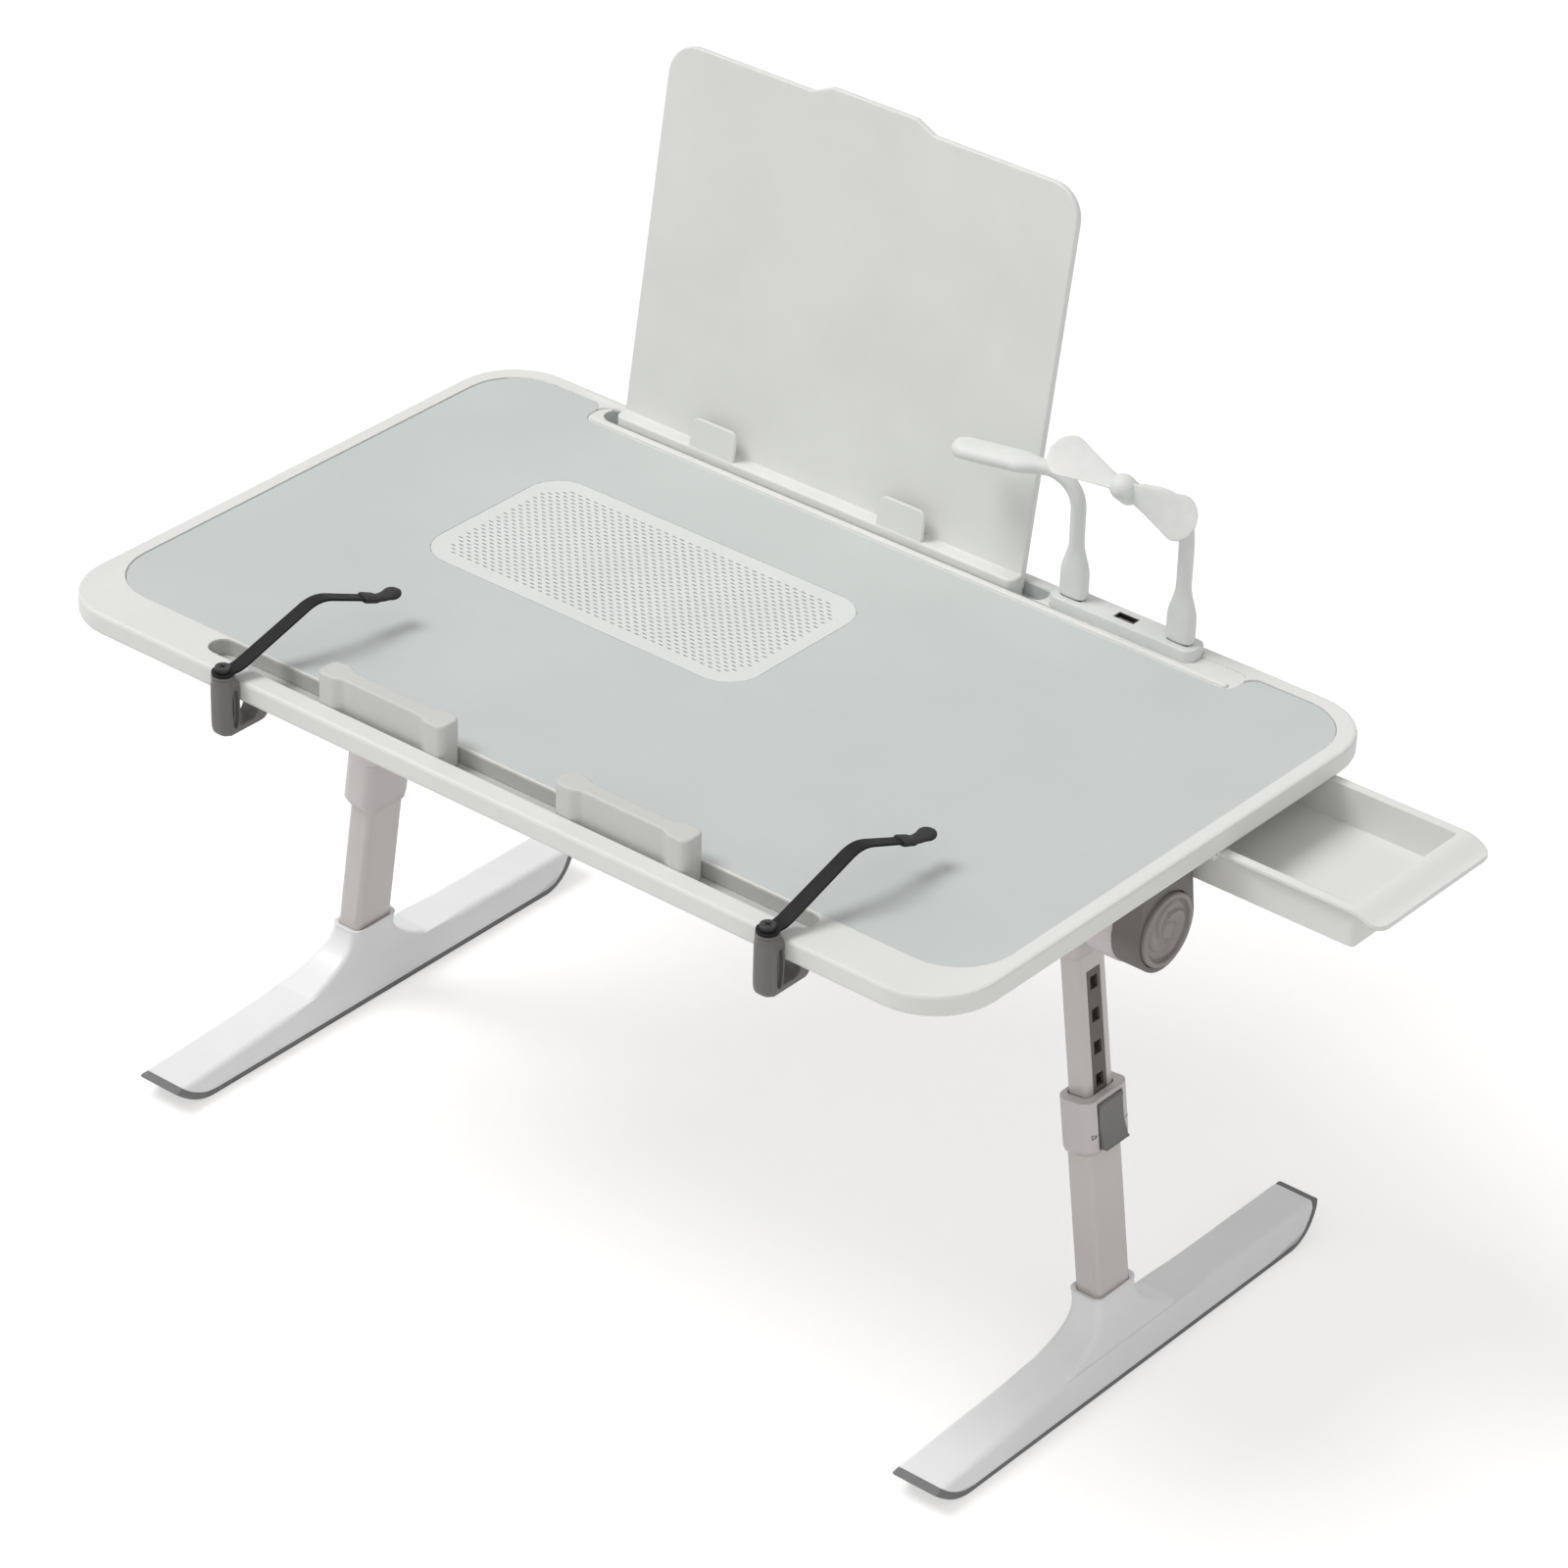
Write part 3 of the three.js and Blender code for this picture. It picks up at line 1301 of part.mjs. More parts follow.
// Leg head: a tongue between the yoke's cheeks and a plug for the inner tube
function legHead() {
  const { tongueHalf, shoulder, bottom, width, depth, corner, spigot } = HEAD;
  const tongueOutline = [
    ...arc(0, 0, tongueHalf, 0, 180, 8),
    new THREE.Vector2(-tongueHalf + width * HALF * HALF, -shoulder - FIT.overrun),
    new THREE.Vector2(tongueHalf - width * HALF * HALF, -shoulder - FIT.overrun),
  ];
  const tongue = slabAlongY(tongueOutline, YOKE.slot);
  const shank = at(roundedSlab(width, depth, corner, bottom - shoulder, 0, 4), 0, 0, -bottom);
  const plugWidth = INNER.width - 2 * (INNER.wall + FIT.gap) - NOTCHES.thick;
  const plugDepth = INNER.depth - 2 * (INNER.wall + FIT.gap);
  const plug = at(
    roundedSlab(plugWidth, plugDepth, INNER.corner - INNER.wall, spigot + FIT.overrun, 0, 3),
    -NOTCHES.thick * HALF,
    0,
    -bottom - spigot,
  );
  return cut(join(tongue, shank, plug), cylinderY(YOKE.pinRadius + FIT.gap, deep(depth), 20));
}

const innerTop = HEAD.bottom + FIT.gap;
const toothAt = NOTCHES.first + NOTCHES.pitch * (NOTCHES.count - 1);

function innerTube() {
  const { width, depth, wall, corner, end } = INNER;
  const tube = piercedSlab(
    roundedOutline(width, depth, corner, 3),
    [roundedOutline(width - 2 * wall, depth - 2 * wall, corner - wall, 3)],
    end - innerTop,
  );
  const length = NOTCHES.end - NOTCHES.start + 2 * FIT.gap;
  const groove = block(2 * (wall + FIT.gap), NOTCHES.width + 2 * FIT.gap, length);
  const middle = -(NOTCHES.start + NOTCHES.end) * HALF;
  return cut(at(tube, 0, 0, -end), at(groove, width * HALF, 0, middle));
}

// Strip of square notches set in the tube's outer face
function notchStrip() {
  const { width, thick, start, end, first, pitch, count, holeWidth, holeTall } = NOTCHES;
  const bar = block(thick, width, end - start);
  const holes = Array.from({ length: count }, (unused, i) =>
    at(block(2 * deep(thick), holeWidth, holeTall), 0, 0, (start + end) * HALF - first - i * pitch),
  );
  return at(cut(bar, ...holes), INNER.width * HALF - thick * HALF, 0, -(start + end) * HALF);
}

const socketFloor = legLength - (RIM.height - RIM.pocket) / Math.cos(splay);

function outerTube() {
  const { width, depth, corner, topOffset } = OUTER;
  const end = socketFloor - FIT.gap;
  const boreWidth = INNER.width + 2 * FIT.slide;
  const tube = piercedSlab(
    roundedOutline(width, depth, corner, 3),
    [roundedOutline(boreWidth, INNER.depth + 2 * FIT.slide, INNER.corner + FIT.slide, 3)],
    end - topOffset,
  );
  const wall = (width - boreWidth) * HALF;
  const windowWidth = LATCH.toothWide + 2 * LATCH.toothRoom;
  const windowTall = LATCH.toothTall + 2 * LATCH.toothRoom;
  const window = block(deep(wall) + wall, windowWidth, windowTall);
  return cut(at(tube, 0, 0, -end), at(window, width * HALF - wall * HALF, 0, -toothAt));
}

// Collar round the top of the outer tube, with the latch's window
function collar() {
  const { width, depth, shift, corner, top, length, taper, lip, inset } = COLLAR;
  const straight = roundedSlab(width, depth, corner, length - taper, 0, 4);
  const rings = [0, 1].map((up) => {
    const z = -top - length + up * (taper + FIT.gap);
    const shrink = up ? 0 : inset;
    return roundedOutline(width - shrink, depth - 2 * inset * (1 - up), corner, 4)
      .map((p) => new THREE.Vector3(p.x + shift * up, p.y, z));
  });
  const sleeve = OUTER.width + 2 * FIT.gap;
  const sleeveDepth = OUTER.depth + 2 * FIT.gap;
  const bore = roundedSlab(sleeve, sleeveDepth, OUTER.corner + FIT.gap, deep(length), 0, 3);
  const mouth = roundedSlab(
    INNER.width + 2 * (FIT.gap + FIT.slide),
    INNER.depth + 2 * (FIT.gap + FIT.slide),
    INNER.corner + FIT.gap,
    deep(length),
    0,
    3,
  );
  const windowTall = LATCH.length + FIT.slide + LATCH.swing;
  const windowDepth = width * HALF;
  const window = block(windowDepth, LATCH.width + 2 * FIT.slide, windowTall);
  const windowZ = -LATCH.top + FIT.slide - windowTall * HALF;
  const pinHole = cylinderY(LATCH.pinRadius + FIT.gap, LATCH.pinLength + 2 * FIT.gap, 14);
  return cut(
    join(at(straight, shift, 0, -top - length + taper), loft(rings)),
    at(bore, 0, 0, -top - lip - deep(length)),
    at(mouth, 0, 0, -top - length + FIT.overrun * HALF),
    at(window, OUTER.width * HALF + FIT.gap + windowDepth * HALF, 0, windowZ),
    at(pinHole, LATCH.pinOffset, 0, -LATCH.pinAt),
  );
}

// Rocker latch: a dished thumb plate with a tooth above its pin and a flared lip below
function latchButton() {
  const { top, length, width, outerTop, outerMid, outerLow, pinAt, pinOffset, relief } = LATCH;
  const inner = OUTER.width * HALF + FIT.slide;
  const bottom = top + length;
  const side = [
    new THREE.Vector2(inner, -top),
    new THREE.Vector2(inner, -pinAt + FIT.overrun),
    new THREE.Vector2(inner + relief, -bottom),
    new THREE.Vector2(outerLow, -bottom),
    new THREE.Vector2(outerLow - relief * HALF, -bottom + relief * HALF),
    new THREE.Vector2(outerMid, -pinAt + relief),
    new THREE.Vector2(outerMid, -top - length * HALF * HALF),
    new THREE.Vector2(outerTop, -top - relief * HALF),
    new THREE.Vector2(outerTop - relief * HALF, -top),
  ];
  const plate = slabAlongY(side, width);
  const toothTip = INNER.width * HALF + FIT.gap;
  const toothLength = inner - toothTip + LATCH.pinRadius;
  const tooth = block(toothLength, LATCH.toothWide, LATCH.toothTall);
  const { radius, wire, length: springLength } = LATCH_SPRING;
  const seat = cylinderX(radius + wire, deep(springLength), 16);
  const springX = OUTER.width * HALF + FIT.gap;
  return cut(
    join(plate, at(tooth, toothTip + toothLength * HALF, 0, -toothAt)),
    at(cylinderY(LATCH.pinRadius + FIT.gap, deep(width), 14), pinOffset, 0, -pinAt),
    at(seat, springX + springLength + FIT.gap - deep(springLength), 0, -pinAt - LATCH.springDown),
  );
}

// Foot: a long bar with raked ends and a socket that flares out of it for the leg tube

// Underside of the foot's side view from its back tip to its front tip, raised by `inset`
function footUnderside(inset) {
  const { front, back, sweep, frontHeight, backHeight } = FOOT;
  const rake = (end, height, sign) => {
    const base = new THREE.Vector2(sign * (end - sweep), inset);
    const turn = new THREE.Vector2(sign * (end - sweep * HALF - inset), inset);
    const tip = new THREE.Vector2(sign * (end - inset), height);
    return new THREE.QuadraticBezierCurve(base, turn, tip).getPoints(5);
  };
  return [...rake(back, backHeight, 1).reverse(), ...rake(front, frontHeight, -1)];
}

function footSide() {
  const { flare, armHeight, sole } = FOOT;
  const top = [new THREE.Vector2(-flare, armHeight), new THREE.Vector2(flare, armHeight)];
  return [...footUnderside(sole), ...top].reverse();
}

function footSection() {
  const { topWidth, bottomWidth, armHeight, shoulder, centreShift } = FOOT;
  const outline = [
    new THREE.Vector2(-bottomWidth * HALF, -FIT.overrun),
    new THREE.Vector2(bottomWidth * HALF, -FIT.overrun),
    new THREE.Vector2(bottomWidth * HALF, shoulder),
    new THREE.Vector2(topWidth * HALF, armHeight),
    new THREE.Vector2(-topWidth * HALF, armHeight),
    new THREE.Vector2(-bottomWidth * HALF, shoulder),
  ];
  return at(slabAlongY(outline, 2 * deep(FOOT.front + FOOT.back)), centreShift, 0, 0);
}

function footBody() {
  const { armHeight, bottomWidth, topWidth, flare, flareFrom, centreShift } = FOOT;
  const bar = overlap(at(slabAlongX(footSide(), 2 * bottomWidth), -bottomWidth, 0, 0), footSection());
  const riseShares = [0, 0.14, 0.3, 0.48, 0.7, 1];
  const rings = riseShares.map((share) => {
    const z = flareFrom + (RIM.height - flareFrom) * share;
    const spread = (1 - share) ** FOOT.flarePower;
    const width = RIM.width + (topWidth - RIM.width) * spread;
    const depth = RIM.depth + 2 * flare * spread;
    const x = -z * Math.tan(splay) * share + centreShift * (1 - share);
    const corner = RIM.width * HALF * HALF;
    return roundedOutline(width, depth, corner, 4).map((p) => new THREE.Vector3(p.x + x, p.y, z));
  });
  const pocket = roundedSlab(
    OUTER.width + 2 * FIT.gap,
    OUTER.depth + 2 * FIT.gap,
    OUTER.corner + FIT.gap,
    deep(RIM.pocket) / Math.cos(splay),
    0,
    3,
  );
  const floor = (RIM.height - RIM.pocket) / Math.cos(splay);
  return cut(join(bar, loft(rings)), at(pocket, 0, 0, floor).rotateY(-splay));
}

// Rubber band under the foot, turned up at both ends
function footSole() {
  const { bottomWidth, sole } = FOOT;
  const band = [...footUnderside(0), ...footUnderside(sole - FIT.gap).reverse()].reverse();
  return overlap(at(slabAlongX(band, 2 * bottomWidth), -bottomWidth, 0, 0), footSection());
}

// A compression spring wound along X from x = 0
function spring(size, length) {
  const made = coil(size.radius, size.wire, size.turns, length, size.steps, size.sides);
  console.log(`spring of wire ${size.wire} mm: least gap between turns ${made.gap.toFixed(2)} mm`);
  return made.geometry.rotateY(90 * DEG);
}

for (const [side, sign] of [["left", -1], ["right", 1]]) {
  const half = new THREE.Group();
  half.scale.x = sign;
  table.add(half);
  piece(half, `tilt_bracket_${side}`, tiltBracket(), taupe);
  const disc = piece(half, `tilt_button_${side}`, tiltDisc(), taupe);
  disc.position.set(discInner, legY, pivotZ);
  const springRoom = discInner - recessFloor - 2 * FIT.gap;
  const tiltSpring = piece(half, `tilt_spring_${side}`, spring(DISC_SPRING, springRoom), steel);
  tiltSpring.position.set(recessFloor + FIT.gap, legY, pivotZ);

  const pivot = new THREE.Group();
  pivot.position.set(pivotX, legY, pivotZ);
  half.add(pivot);
  piece(pivot, `pivot_arm_${side}`, pivotArm(), shellWhite);
  piece(pivot, `fold_pin_${side}`, cylinderY(YOKE.pinRadius, YOKE.width - 2 * FIT.gap, 20), steel);

  const leg = new THREE.Group();
  leg.rotation.y = -splay;
  pivot.add(leg);
  piece(leg, `leg_head_${side}`, legHead(), shellWhite);
  piece(leg, `inner_tube_${side}`, innerTube(), enamel);
  piece(leg, `notch_strip_${side}`, notchStrip(), darkGrey);
  piece(leg, `lower_tube_${side}`, outerTube(), enamel);
  piece(leg, `collar_${side}`, collar(), shellWhite);
  piece(leg, `latch_button_${side}`, latchButton(), darkGrey);
  const pin = piece(leg, `latch_pin_${side}`, cylinderY(LATCH.pinRadius, LATCH.pinLength, 14), steel);
  pin.position.set(LATCH.pinOffset, 0, -LATCH.pinAt);
  const latchCoil = spring(LATCH_SPRING, LATCH_SPRING.length);
  const latchSpring = piece(leg, `latch_spring_${side}`, latchCoil, steel);
  latchSpring.position.set(OUTER.width * HALF + FIT.gap, 0, -LATCH.pinAt - LATCH.springDown);

  const ground = new THREE.Group();
  ground.position.z = -legLength;
  ground.rotation.y = splay;
  leg.add(ground);
  piece(ground, `foot_${side}`, footBody(), enamel);
  piece(ground, `foot_sole_${side}`, footSole(), rubber);
}

// The origin is on the floor, under the middle of the whole part's box
table.updateMatrixWorld(true);
const bounds = new THREE.Box3().setFromObject(table, true);
const middle = bounds.getCenter(new THREE.Vector3());
table.position.set(-middle.x, -middle.y, -bounds.min.z);
console.log(`shift of the origin: ${table.position.toArray().map((v) => v.toFixed(3)).join(", ")}`);

const part = new THREE.Group();
part.add(table);

export default part;
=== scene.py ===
"""Folding bed table: the finishes, the finer pieces, the floor, the light and the camera.

Pieces are drawn in millimetres from the middle of the desk on the floor, and moved into
the frame's metres by `to_frame`.
"""

import json
import math

import bmesh
import bpy
from bpy.props import FloatProperty, FloatVectorProperty, IntProperty, PointerProperty
from mathutils import Matrix, Vector

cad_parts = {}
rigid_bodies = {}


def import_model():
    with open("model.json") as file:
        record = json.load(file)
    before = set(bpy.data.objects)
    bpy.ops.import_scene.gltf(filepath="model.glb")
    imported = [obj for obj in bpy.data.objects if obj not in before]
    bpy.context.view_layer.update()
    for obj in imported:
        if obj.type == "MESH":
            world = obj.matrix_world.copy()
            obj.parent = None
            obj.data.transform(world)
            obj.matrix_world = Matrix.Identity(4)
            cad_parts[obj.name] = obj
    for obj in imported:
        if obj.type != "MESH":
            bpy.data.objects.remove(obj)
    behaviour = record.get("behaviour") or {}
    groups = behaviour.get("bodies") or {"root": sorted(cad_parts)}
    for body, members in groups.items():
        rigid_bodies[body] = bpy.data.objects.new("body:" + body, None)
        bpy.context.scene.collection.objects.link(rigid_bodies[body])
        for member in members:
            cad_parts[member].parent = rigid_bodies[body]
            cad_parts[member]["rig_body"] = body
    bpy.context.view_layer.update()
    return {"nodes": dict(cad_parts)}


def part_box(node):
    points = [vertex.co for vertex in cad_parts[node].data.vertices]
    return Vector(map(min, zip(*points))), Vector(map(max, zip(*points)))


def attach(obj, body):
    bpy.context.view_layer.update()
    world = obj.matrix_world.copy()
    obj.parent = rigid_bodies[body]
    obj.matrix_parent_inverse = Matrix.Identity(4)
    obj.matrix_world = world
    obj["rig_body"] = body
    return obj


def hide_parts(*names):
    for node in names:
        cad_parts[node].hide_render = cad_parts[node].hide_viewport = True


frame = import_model()

bl_info = {
    "name": "Folding bed table",
    "version": (1, 0, 0),
    "blender": (4, 5, 0),
    "location": "3D View > Sidebar > Bed Table",
    "description": "Builds the finer pieces and the finishes of a folding bed table",
    "category": "Add Mesh",
}

MM = 0.001
ORIGIN = Vector((-50.5, -8.739, 0))
SIDES = {"left": -1, "right": 1}


def linear(red, green, blue):
    """A colour picked on the screen, 0 to 255, as scene light."""
    shares = [channel / 255 for channel in (red, green, blue)]
    return tuple(s / 12.92 if s <= 0.04045 else ((s + 0.055) / 1.055) ** 2.4 for s in shares)


# Sizes and colours that a user would change


def colour(name, description, red, green, blue):
    return FloatVectorProperty(
        name=name,
        description=description,
        subtype="COLOR",
        size=3,
        min=0,
        max=1,
        default=linear(red, green, blue),
    )


def length(name, description, millimetres):
    return FloatProperty(
        name=name,
        description=description,
        subtype="DISTANCE",
        unit="LENGTH",
        min=0,
        default=millimetres * MM,
    )


class TableColours(bpy.types.PropertyGroup):
    """Colours of the finishes"""

    rim: colour("Rim", "Moulded rim, drawer and tablet board", 226, 227, 224)
    panel: colour("Panel", "Writing surface", 199, 204, 203)
    vent: colour("Vent", "Slotted vent", 221, 224, 223)
    hub: colour("Hub", "Hub's case", 221, 223, 222)
    shell: colour("Shell", "Pivots, collars and leg heads", 205, 199, 199)
    tube: colour("Tube", "Painted leg tubes", 199, 193, 190)
    foot: colour("Foot", "Painted feet", 236, 237, 238)
    taupe: colour("Taupe", "Tilt brackets and their discs", 140, 133, 129)
    notch: colour("Notch strip", "Strip of notches in each leg", 92, 87, 84)
    latch: colour("Latch", "Height latches", 112, 112, 110)
    bracket: colour("Bracket", "Page clip brackets", 106, 105, 104)
    arm: colour("Arm", "Page arms", 15, 15, 16)
    rubber: colour("Rubber", "Soles", 118, 118, 119)
    silicone: colour("Silicone", "Lamp and fan", 224, 226, 224)
    steel: colour("Steel", "Pins, screws and plugs", 176, 177, 178)
    circuit: colour("Circuit", "Hub's circuit board", 34, 92, 62)
    backdrop: colour("Backdrop", "Floor", 250, 250, 250)


class TableSizes(bpy.types.PropertyGroup):
    """Sizes of the finer pieces"""

    slot_length: length("Slot length", "Length of one vent slot", 3.2)
    slot_width: length("Slot width", "Width of one vent slot", 1.05)
    slot_pitch: length("Slot pitch", "From slot to slot along a row", 5.95)
    row_pitch: length("Row pitch", "From row to row of slots", 3.15)
    slot_border: length("Slot border", "Plain border round the slots", 8)
    swirl_height: length("Swirl height", "Height of the disc's swirl", 1.5)
    swirl_arms: IntProperty(
        name="Swirl arms",
        description="Arms of the swirl on a disc",
        min=1,
        default=4,
    )


# Node trees


class Wire:
    """One value in a finish's node tree; arithmetic on it adds the Math nodes."""

    def __init__(self, finish, socket):
        self.finish = finish
        self.socket = socket

    def _math(self, operation, first, second):
        return self.finish.node("ShaderNodeMath", {"operation": operation}, {0: first, 1: second})

    def __add__(self, other):
        return self._math("ADD", self, other)

    def __radd__(self, other):
        return self._math("ADD", other, self)

    def __sub__(self, other):
        return self._math("SUBTRACT", self, other)

    def __rsub__(self, other):
        return self._math("SUBTRACT", other, self)

    def __mul__(self, other):
        return self._math("MULTIPLY", self, other)

    def __rmul__(self, other):
        return self._math("MULTIPLY", other, self)

    def at_least(self, other):
        return self._math("MAXIMUM", self, other)

    def at_most(self, other):
        return self._math("MINIMUM", self, other)

    def out(self, name):
        """Another output of the node that this value comes from."""
        return Wire(self.finish, self.socket.node.outputs[name])


class Finish:
    """A material or world and its nodes."""

    def __init__(self, owner):
        self.owner = owner
        owner.use_nodes = True
        self.tree = owner.node_tree
        self.tree.nodes.clear()

    def node(self, kind, settings=None, sockets=None, out=0):
        """Adds a node: its settings first, then the values or links of its sockets."""
        made = self.tree.nodes.new(kind)
        for name, value in (settings or {}).items():
            setattr(made, name, value)
        for name, value in (sockets or {}).items():
            if isinstance(value, Wire):
                self.tree.links.new(value.socket, made.inputs[name])
            else:
                made.inputs[name].default_value = value
        return Wire(self, made.outputs[out]) if made.outputs else None

    def place(self):
        """Where a point lies on its own piece, in metres."""
        return self.node("ShaderNodeTexCoord", out="Object")

    def noise(self, place, feature, detail=2, rough=0.55):
        """Cloudy noise whose patches are `feature` millimetres across."""
        scale = 1 / (feature * MM)
        sockets = {"Vector": place, "Scale": scale, "Detail": detail, "Roughness": rough}
        return self.node("ShaderNodeTexNoise", {"noise_dimensions": "3D"}, sockets)

    def stretched(self, place, x, y, z):
        """Coordinates pulled out along an axis, for marks that run one way."""
        settings = {"operation": "MULTIPLY"}
        return self.node("ShaderNodeVectorMath", settings, {0: place, 1: (x, y, z)})

    def blend(self, first, second, factor):
        """A colour between two."""
        settings = {"data_type": "RGBA", "clamp_factor": True}
        return self.node("ShaderNodeMix", settings, {0: factor, 6: first, 7: second}, out=2)

    def soft_normal(self, radius):
        """The surface's direction with its edges rounded over."""
        return self.node("ShaderNodeBevel", {"samples": 4}, {"Radius": radius})

    def edge_mask(self, soft):
        """0 on a flat, towards 1 on an edge."""
        plain = self.node("ShaderNodeNewGeometry", out="Normal")
        settings = {"operation": "DOT_PRODUCT"}
        facing = self.node("ShaderNodeVectorMath", settings, {0: soft, 1: plain}, out="Value")
        return ((1 - facing) * 5).at_most(1).at_least(0)

    def bump(self, height, strength, distance, soft):
        sockets = {"Strength": strength, "Distance": distance, "Height": height, "Normal": soft}
        return self.node("ShaderNodeBump", None, sockets)

    def surface(self, base, roughness, normal=None, **constants):
        """Joins the values to the surface shader."""
        sockets = {"Base Color": base, "Roughness": roughness}
        if normal:
            sockets["Normal"] = normal
        for name, value in constants.items():
            sockets[name.replace("_", " ").title().replace("Ior", "IOR")] = value
        shader = self.node("ShaderNodeBsdfPrincipled", None, sockets)
        self.node("ShaderNodeOutputMaterial", None, {"Surface": shader})
        return self.owner


def shade(rgb, factor):
    return tuple(min(1, channel * factor) for channel in rgb) + (1,)


def new_finish(name):
    """A fresh material, and where a point lies on the piece that wears it."""
    finish = Finish(bpy.data.materials.new(name))
    return finish, finish.place()


def moulded(name, rgb, roughness=0.48, grain=0.5, grain_size=0.55, edge=0.9, mottle=0.03):
    """Moulded plastic: sand-fine grain, faint flow marks, softened edges with a painted highlight
    along them.
    """
    finish, place = new_finish(name)
    flow = finish.noise(finish.stretched(place, 1, 0.35, 1), 60, 3)
    fine = finish.noise(place, grain_size, 2, 0.6)
    smudge = finish.noise(place, 22, 4)
    soft = finish.soft_normal(edge * MM)
    edge_lightening = finish.edge_mask(soft)
    base = finish.blend(shade(rgb, 1 - mottle), shade(rgb, 1 + mottle), (flow - 0.3) * 2.5)
    base = finish.blend(base, shade(rgb, 0.97), fine * 0.3)
    # Painted highlight: the colour is lightened along the edges; the lower roughness there stands
    # for burnished edges
    base = finish.blend(base, shade(rgb, 1.12), edge_lightening * 0.5)
    rough = roughness + (smudge - 0.5) * 0.16 + (fine - 0.5) * 0.1 - edge_lightening * 0.08
    return finish.surface(base, rough, finish.bump(fine, grain, 0.05 * MM, soft))


def panel_film(name, rgb):
    """Writing surface: a matt film with a fine leathery pebble and faint scuffs."""
    finish, place = new_finish(name)
    pebble = finish.node(
        "ShaderNodeTexVoronoi",
        {"feature": "SMOOTH_F1"},
        {"Vector": place, "Scale": 1 / (0.9 * MM), "Smoothness": 0.6},
        out="Distance",
    )
    cloud = finish.noise(place, 90, 4)
    scuff = finish.noise(finish.stretched(place, 1, 0.06, 1), 3.5, 3, 0.7)
    scuff = ((scuff - 0.62) * 6).at_least(0).at_most(1)
    soft = finish.soft_normal(0.5 * MM)
    base = finish.blend(shade(rgb, 0.965), shade(rgb, 1.03), (cloud - 0.3) * 2.5)
    base = finish.blend(base, shade(rgb, 1.06), scuff * 0.25)
    base = finish.blend(base, shade(rgb, 0.94), pebble * 0.35)
    rough = 0.56 + (cloud - 0.5) * 0.14 - scuff * 0.1
    return finish.surface(base, rough, finish.bump(pebble, 0.35, 0.06 * MM, soft))


def powder_paint(name, rgb, roughness=0.36, metallic=0.0, along_z=True):
    """Powder paint on metal: slight orange peel, fine glitter, long drawn marks."""
    finish, place = new_finish(name)
    peel = finish.noise(place, 1.6, 2)
    glitter = finish.noise(place, 0.25, 1)
    drawn = finish.noise(finish.stretched(place, 1, 1, 0.05 if along_z else 1), 2.2, 2)
    cloud = finish.noise(place, 70, 3)
    soft = finish.soft_normal(0.8 * MM)
    edge_lightening = finish.edge_mask(soft)
    base = finish.blend(shade(rgb, 0.965), shade(rgb, 1.03), (cloud - 0.3) * 2.5)
    base = finish.blend(base, shade(rgb, 1.1), (glitter - 0.55).at_least(0) * 1.2)
    # Painted highlight: the colour is lightened along the edges
    base = finish.blend(base, shade(rgb, 1.12), edge_lightening * 0.4)
    rough = roughness + (drawn - 0.5) * 0.12 + (glitter - 0.5) * 0.12
    height = peel * 0.8 + glitter * 0.2
    bumps = finish.bump(height, 0.18, 0.08 * MM, soft)
    return finish.surface(base, rough, bumps, metallic=metallic, coat_weight=0.12)


def soft_rubber(name, rgb, roughness=0.78):
    """Moulded rubber: open matt grain, dusty patches, and a painted highlight along its edges."""
    finish, place = new_finish(name)
    fine = finish.noise(place, 0.8, 3, 0.7)
    dust = finish.noise(place, 14, 5, 0.65)
    soft = finish.soft_normal(0.7 * MM)
    edge_lightening = finish.edge_mask(soft)
    base = finish.blend(shade(rgb, 0.9), shade(rgb, 1.12), (dust - 0.3) * 2.2)
    # Painted highlight: the colour is lightened along the edges
    base = finish.blend(base, shade(rgb, 1.3), edge_lightening * 0.5)
    rough = roughness + (dust - 0.5) * 0.2
    return finish.surface(base, rough, finish.bump(fine, 0.5, 0.12 * MM, soft))


def soft_silicone(name, rgb):
    """Silicone skin: silky, slightly see-through, with a faint powdery bloom."""
    finish, place = new_finish(name)
    fine = finish.noise(place, 0.5, 2)
    bloom = finish.noise(place, 9, 4)
    soft = finish.soft_normal(0.5 * MM)
    base = finish.blend(shade(rgb, 0.97), shade(rgb, 1.02), (bloom - 0.3) * 2.5)
    rough = 0.52 + (bloom - 0.5) * 0.2
    bumps = finish.bump(fine, 0.2, 0.04 * MM, soft)
    return finish.surface(base, rough, bumps, subsurface_weight=0.12, subsurface_scale=2 * MM)


def brushed_steel(name, rgb, roughness=0.3):
    """Turned or brushed steel with fine lines and a few darker stains."""
    finish, place = new_finish(name)
    lines = finish.noise(finish.stretched(place, 1, 0.08, 1), 0.35, 2)
    stain = finish.noise(place, 5, 3)
    soft = finish.soft_normal(0.3 * MM)
    base = finish.blend(shade(rgb, 0.85), shade(rgb, 1.1), (lines - 0.25) * 2)
    base = finish.blend(base, shade(rgb, 0.7), (stain - 0.55).at_least(0) * 1.5)
    rough = roughness + (lines - 0.5) * 0.25
    return finish.surface(base, rough, finish.bump(lines, 0.25, 0.03 * MM, soft), metallic=1.0)


def black_coat(name, rgb, roughness=0.58):
    """Black coated spring steel: eggshell sheen, worn a little paler along its edges."""
    finish, place = new_finish(name)
    fine = finish.noise(place, 0.5, 3, 0.65)
    rub = finish.noise(finish.stretched(place, 1, 1, 0.3), 7, 4)
    soft = finish.soft_normal(0.4 * MM)
    edge_lightening = finish.edge_mask(soft) * (rub * 1.6 - 0.3).at_least(0)
    base = finish.blend(shade(rgb, 0.8), shade(rgb, 1.35), (rub - 0.3) * 2)
    base = finish.blend(base, shade(rgb, 5), edge_lightening * 0.5)
    rough = roughness + (rub - 0.5) * 0.25
    bumps = finish.bump(fine, 0.35, 0.06 * MM, soft)
    return finish.surface(base, rough, bumps, specular_ior_level=0.2)


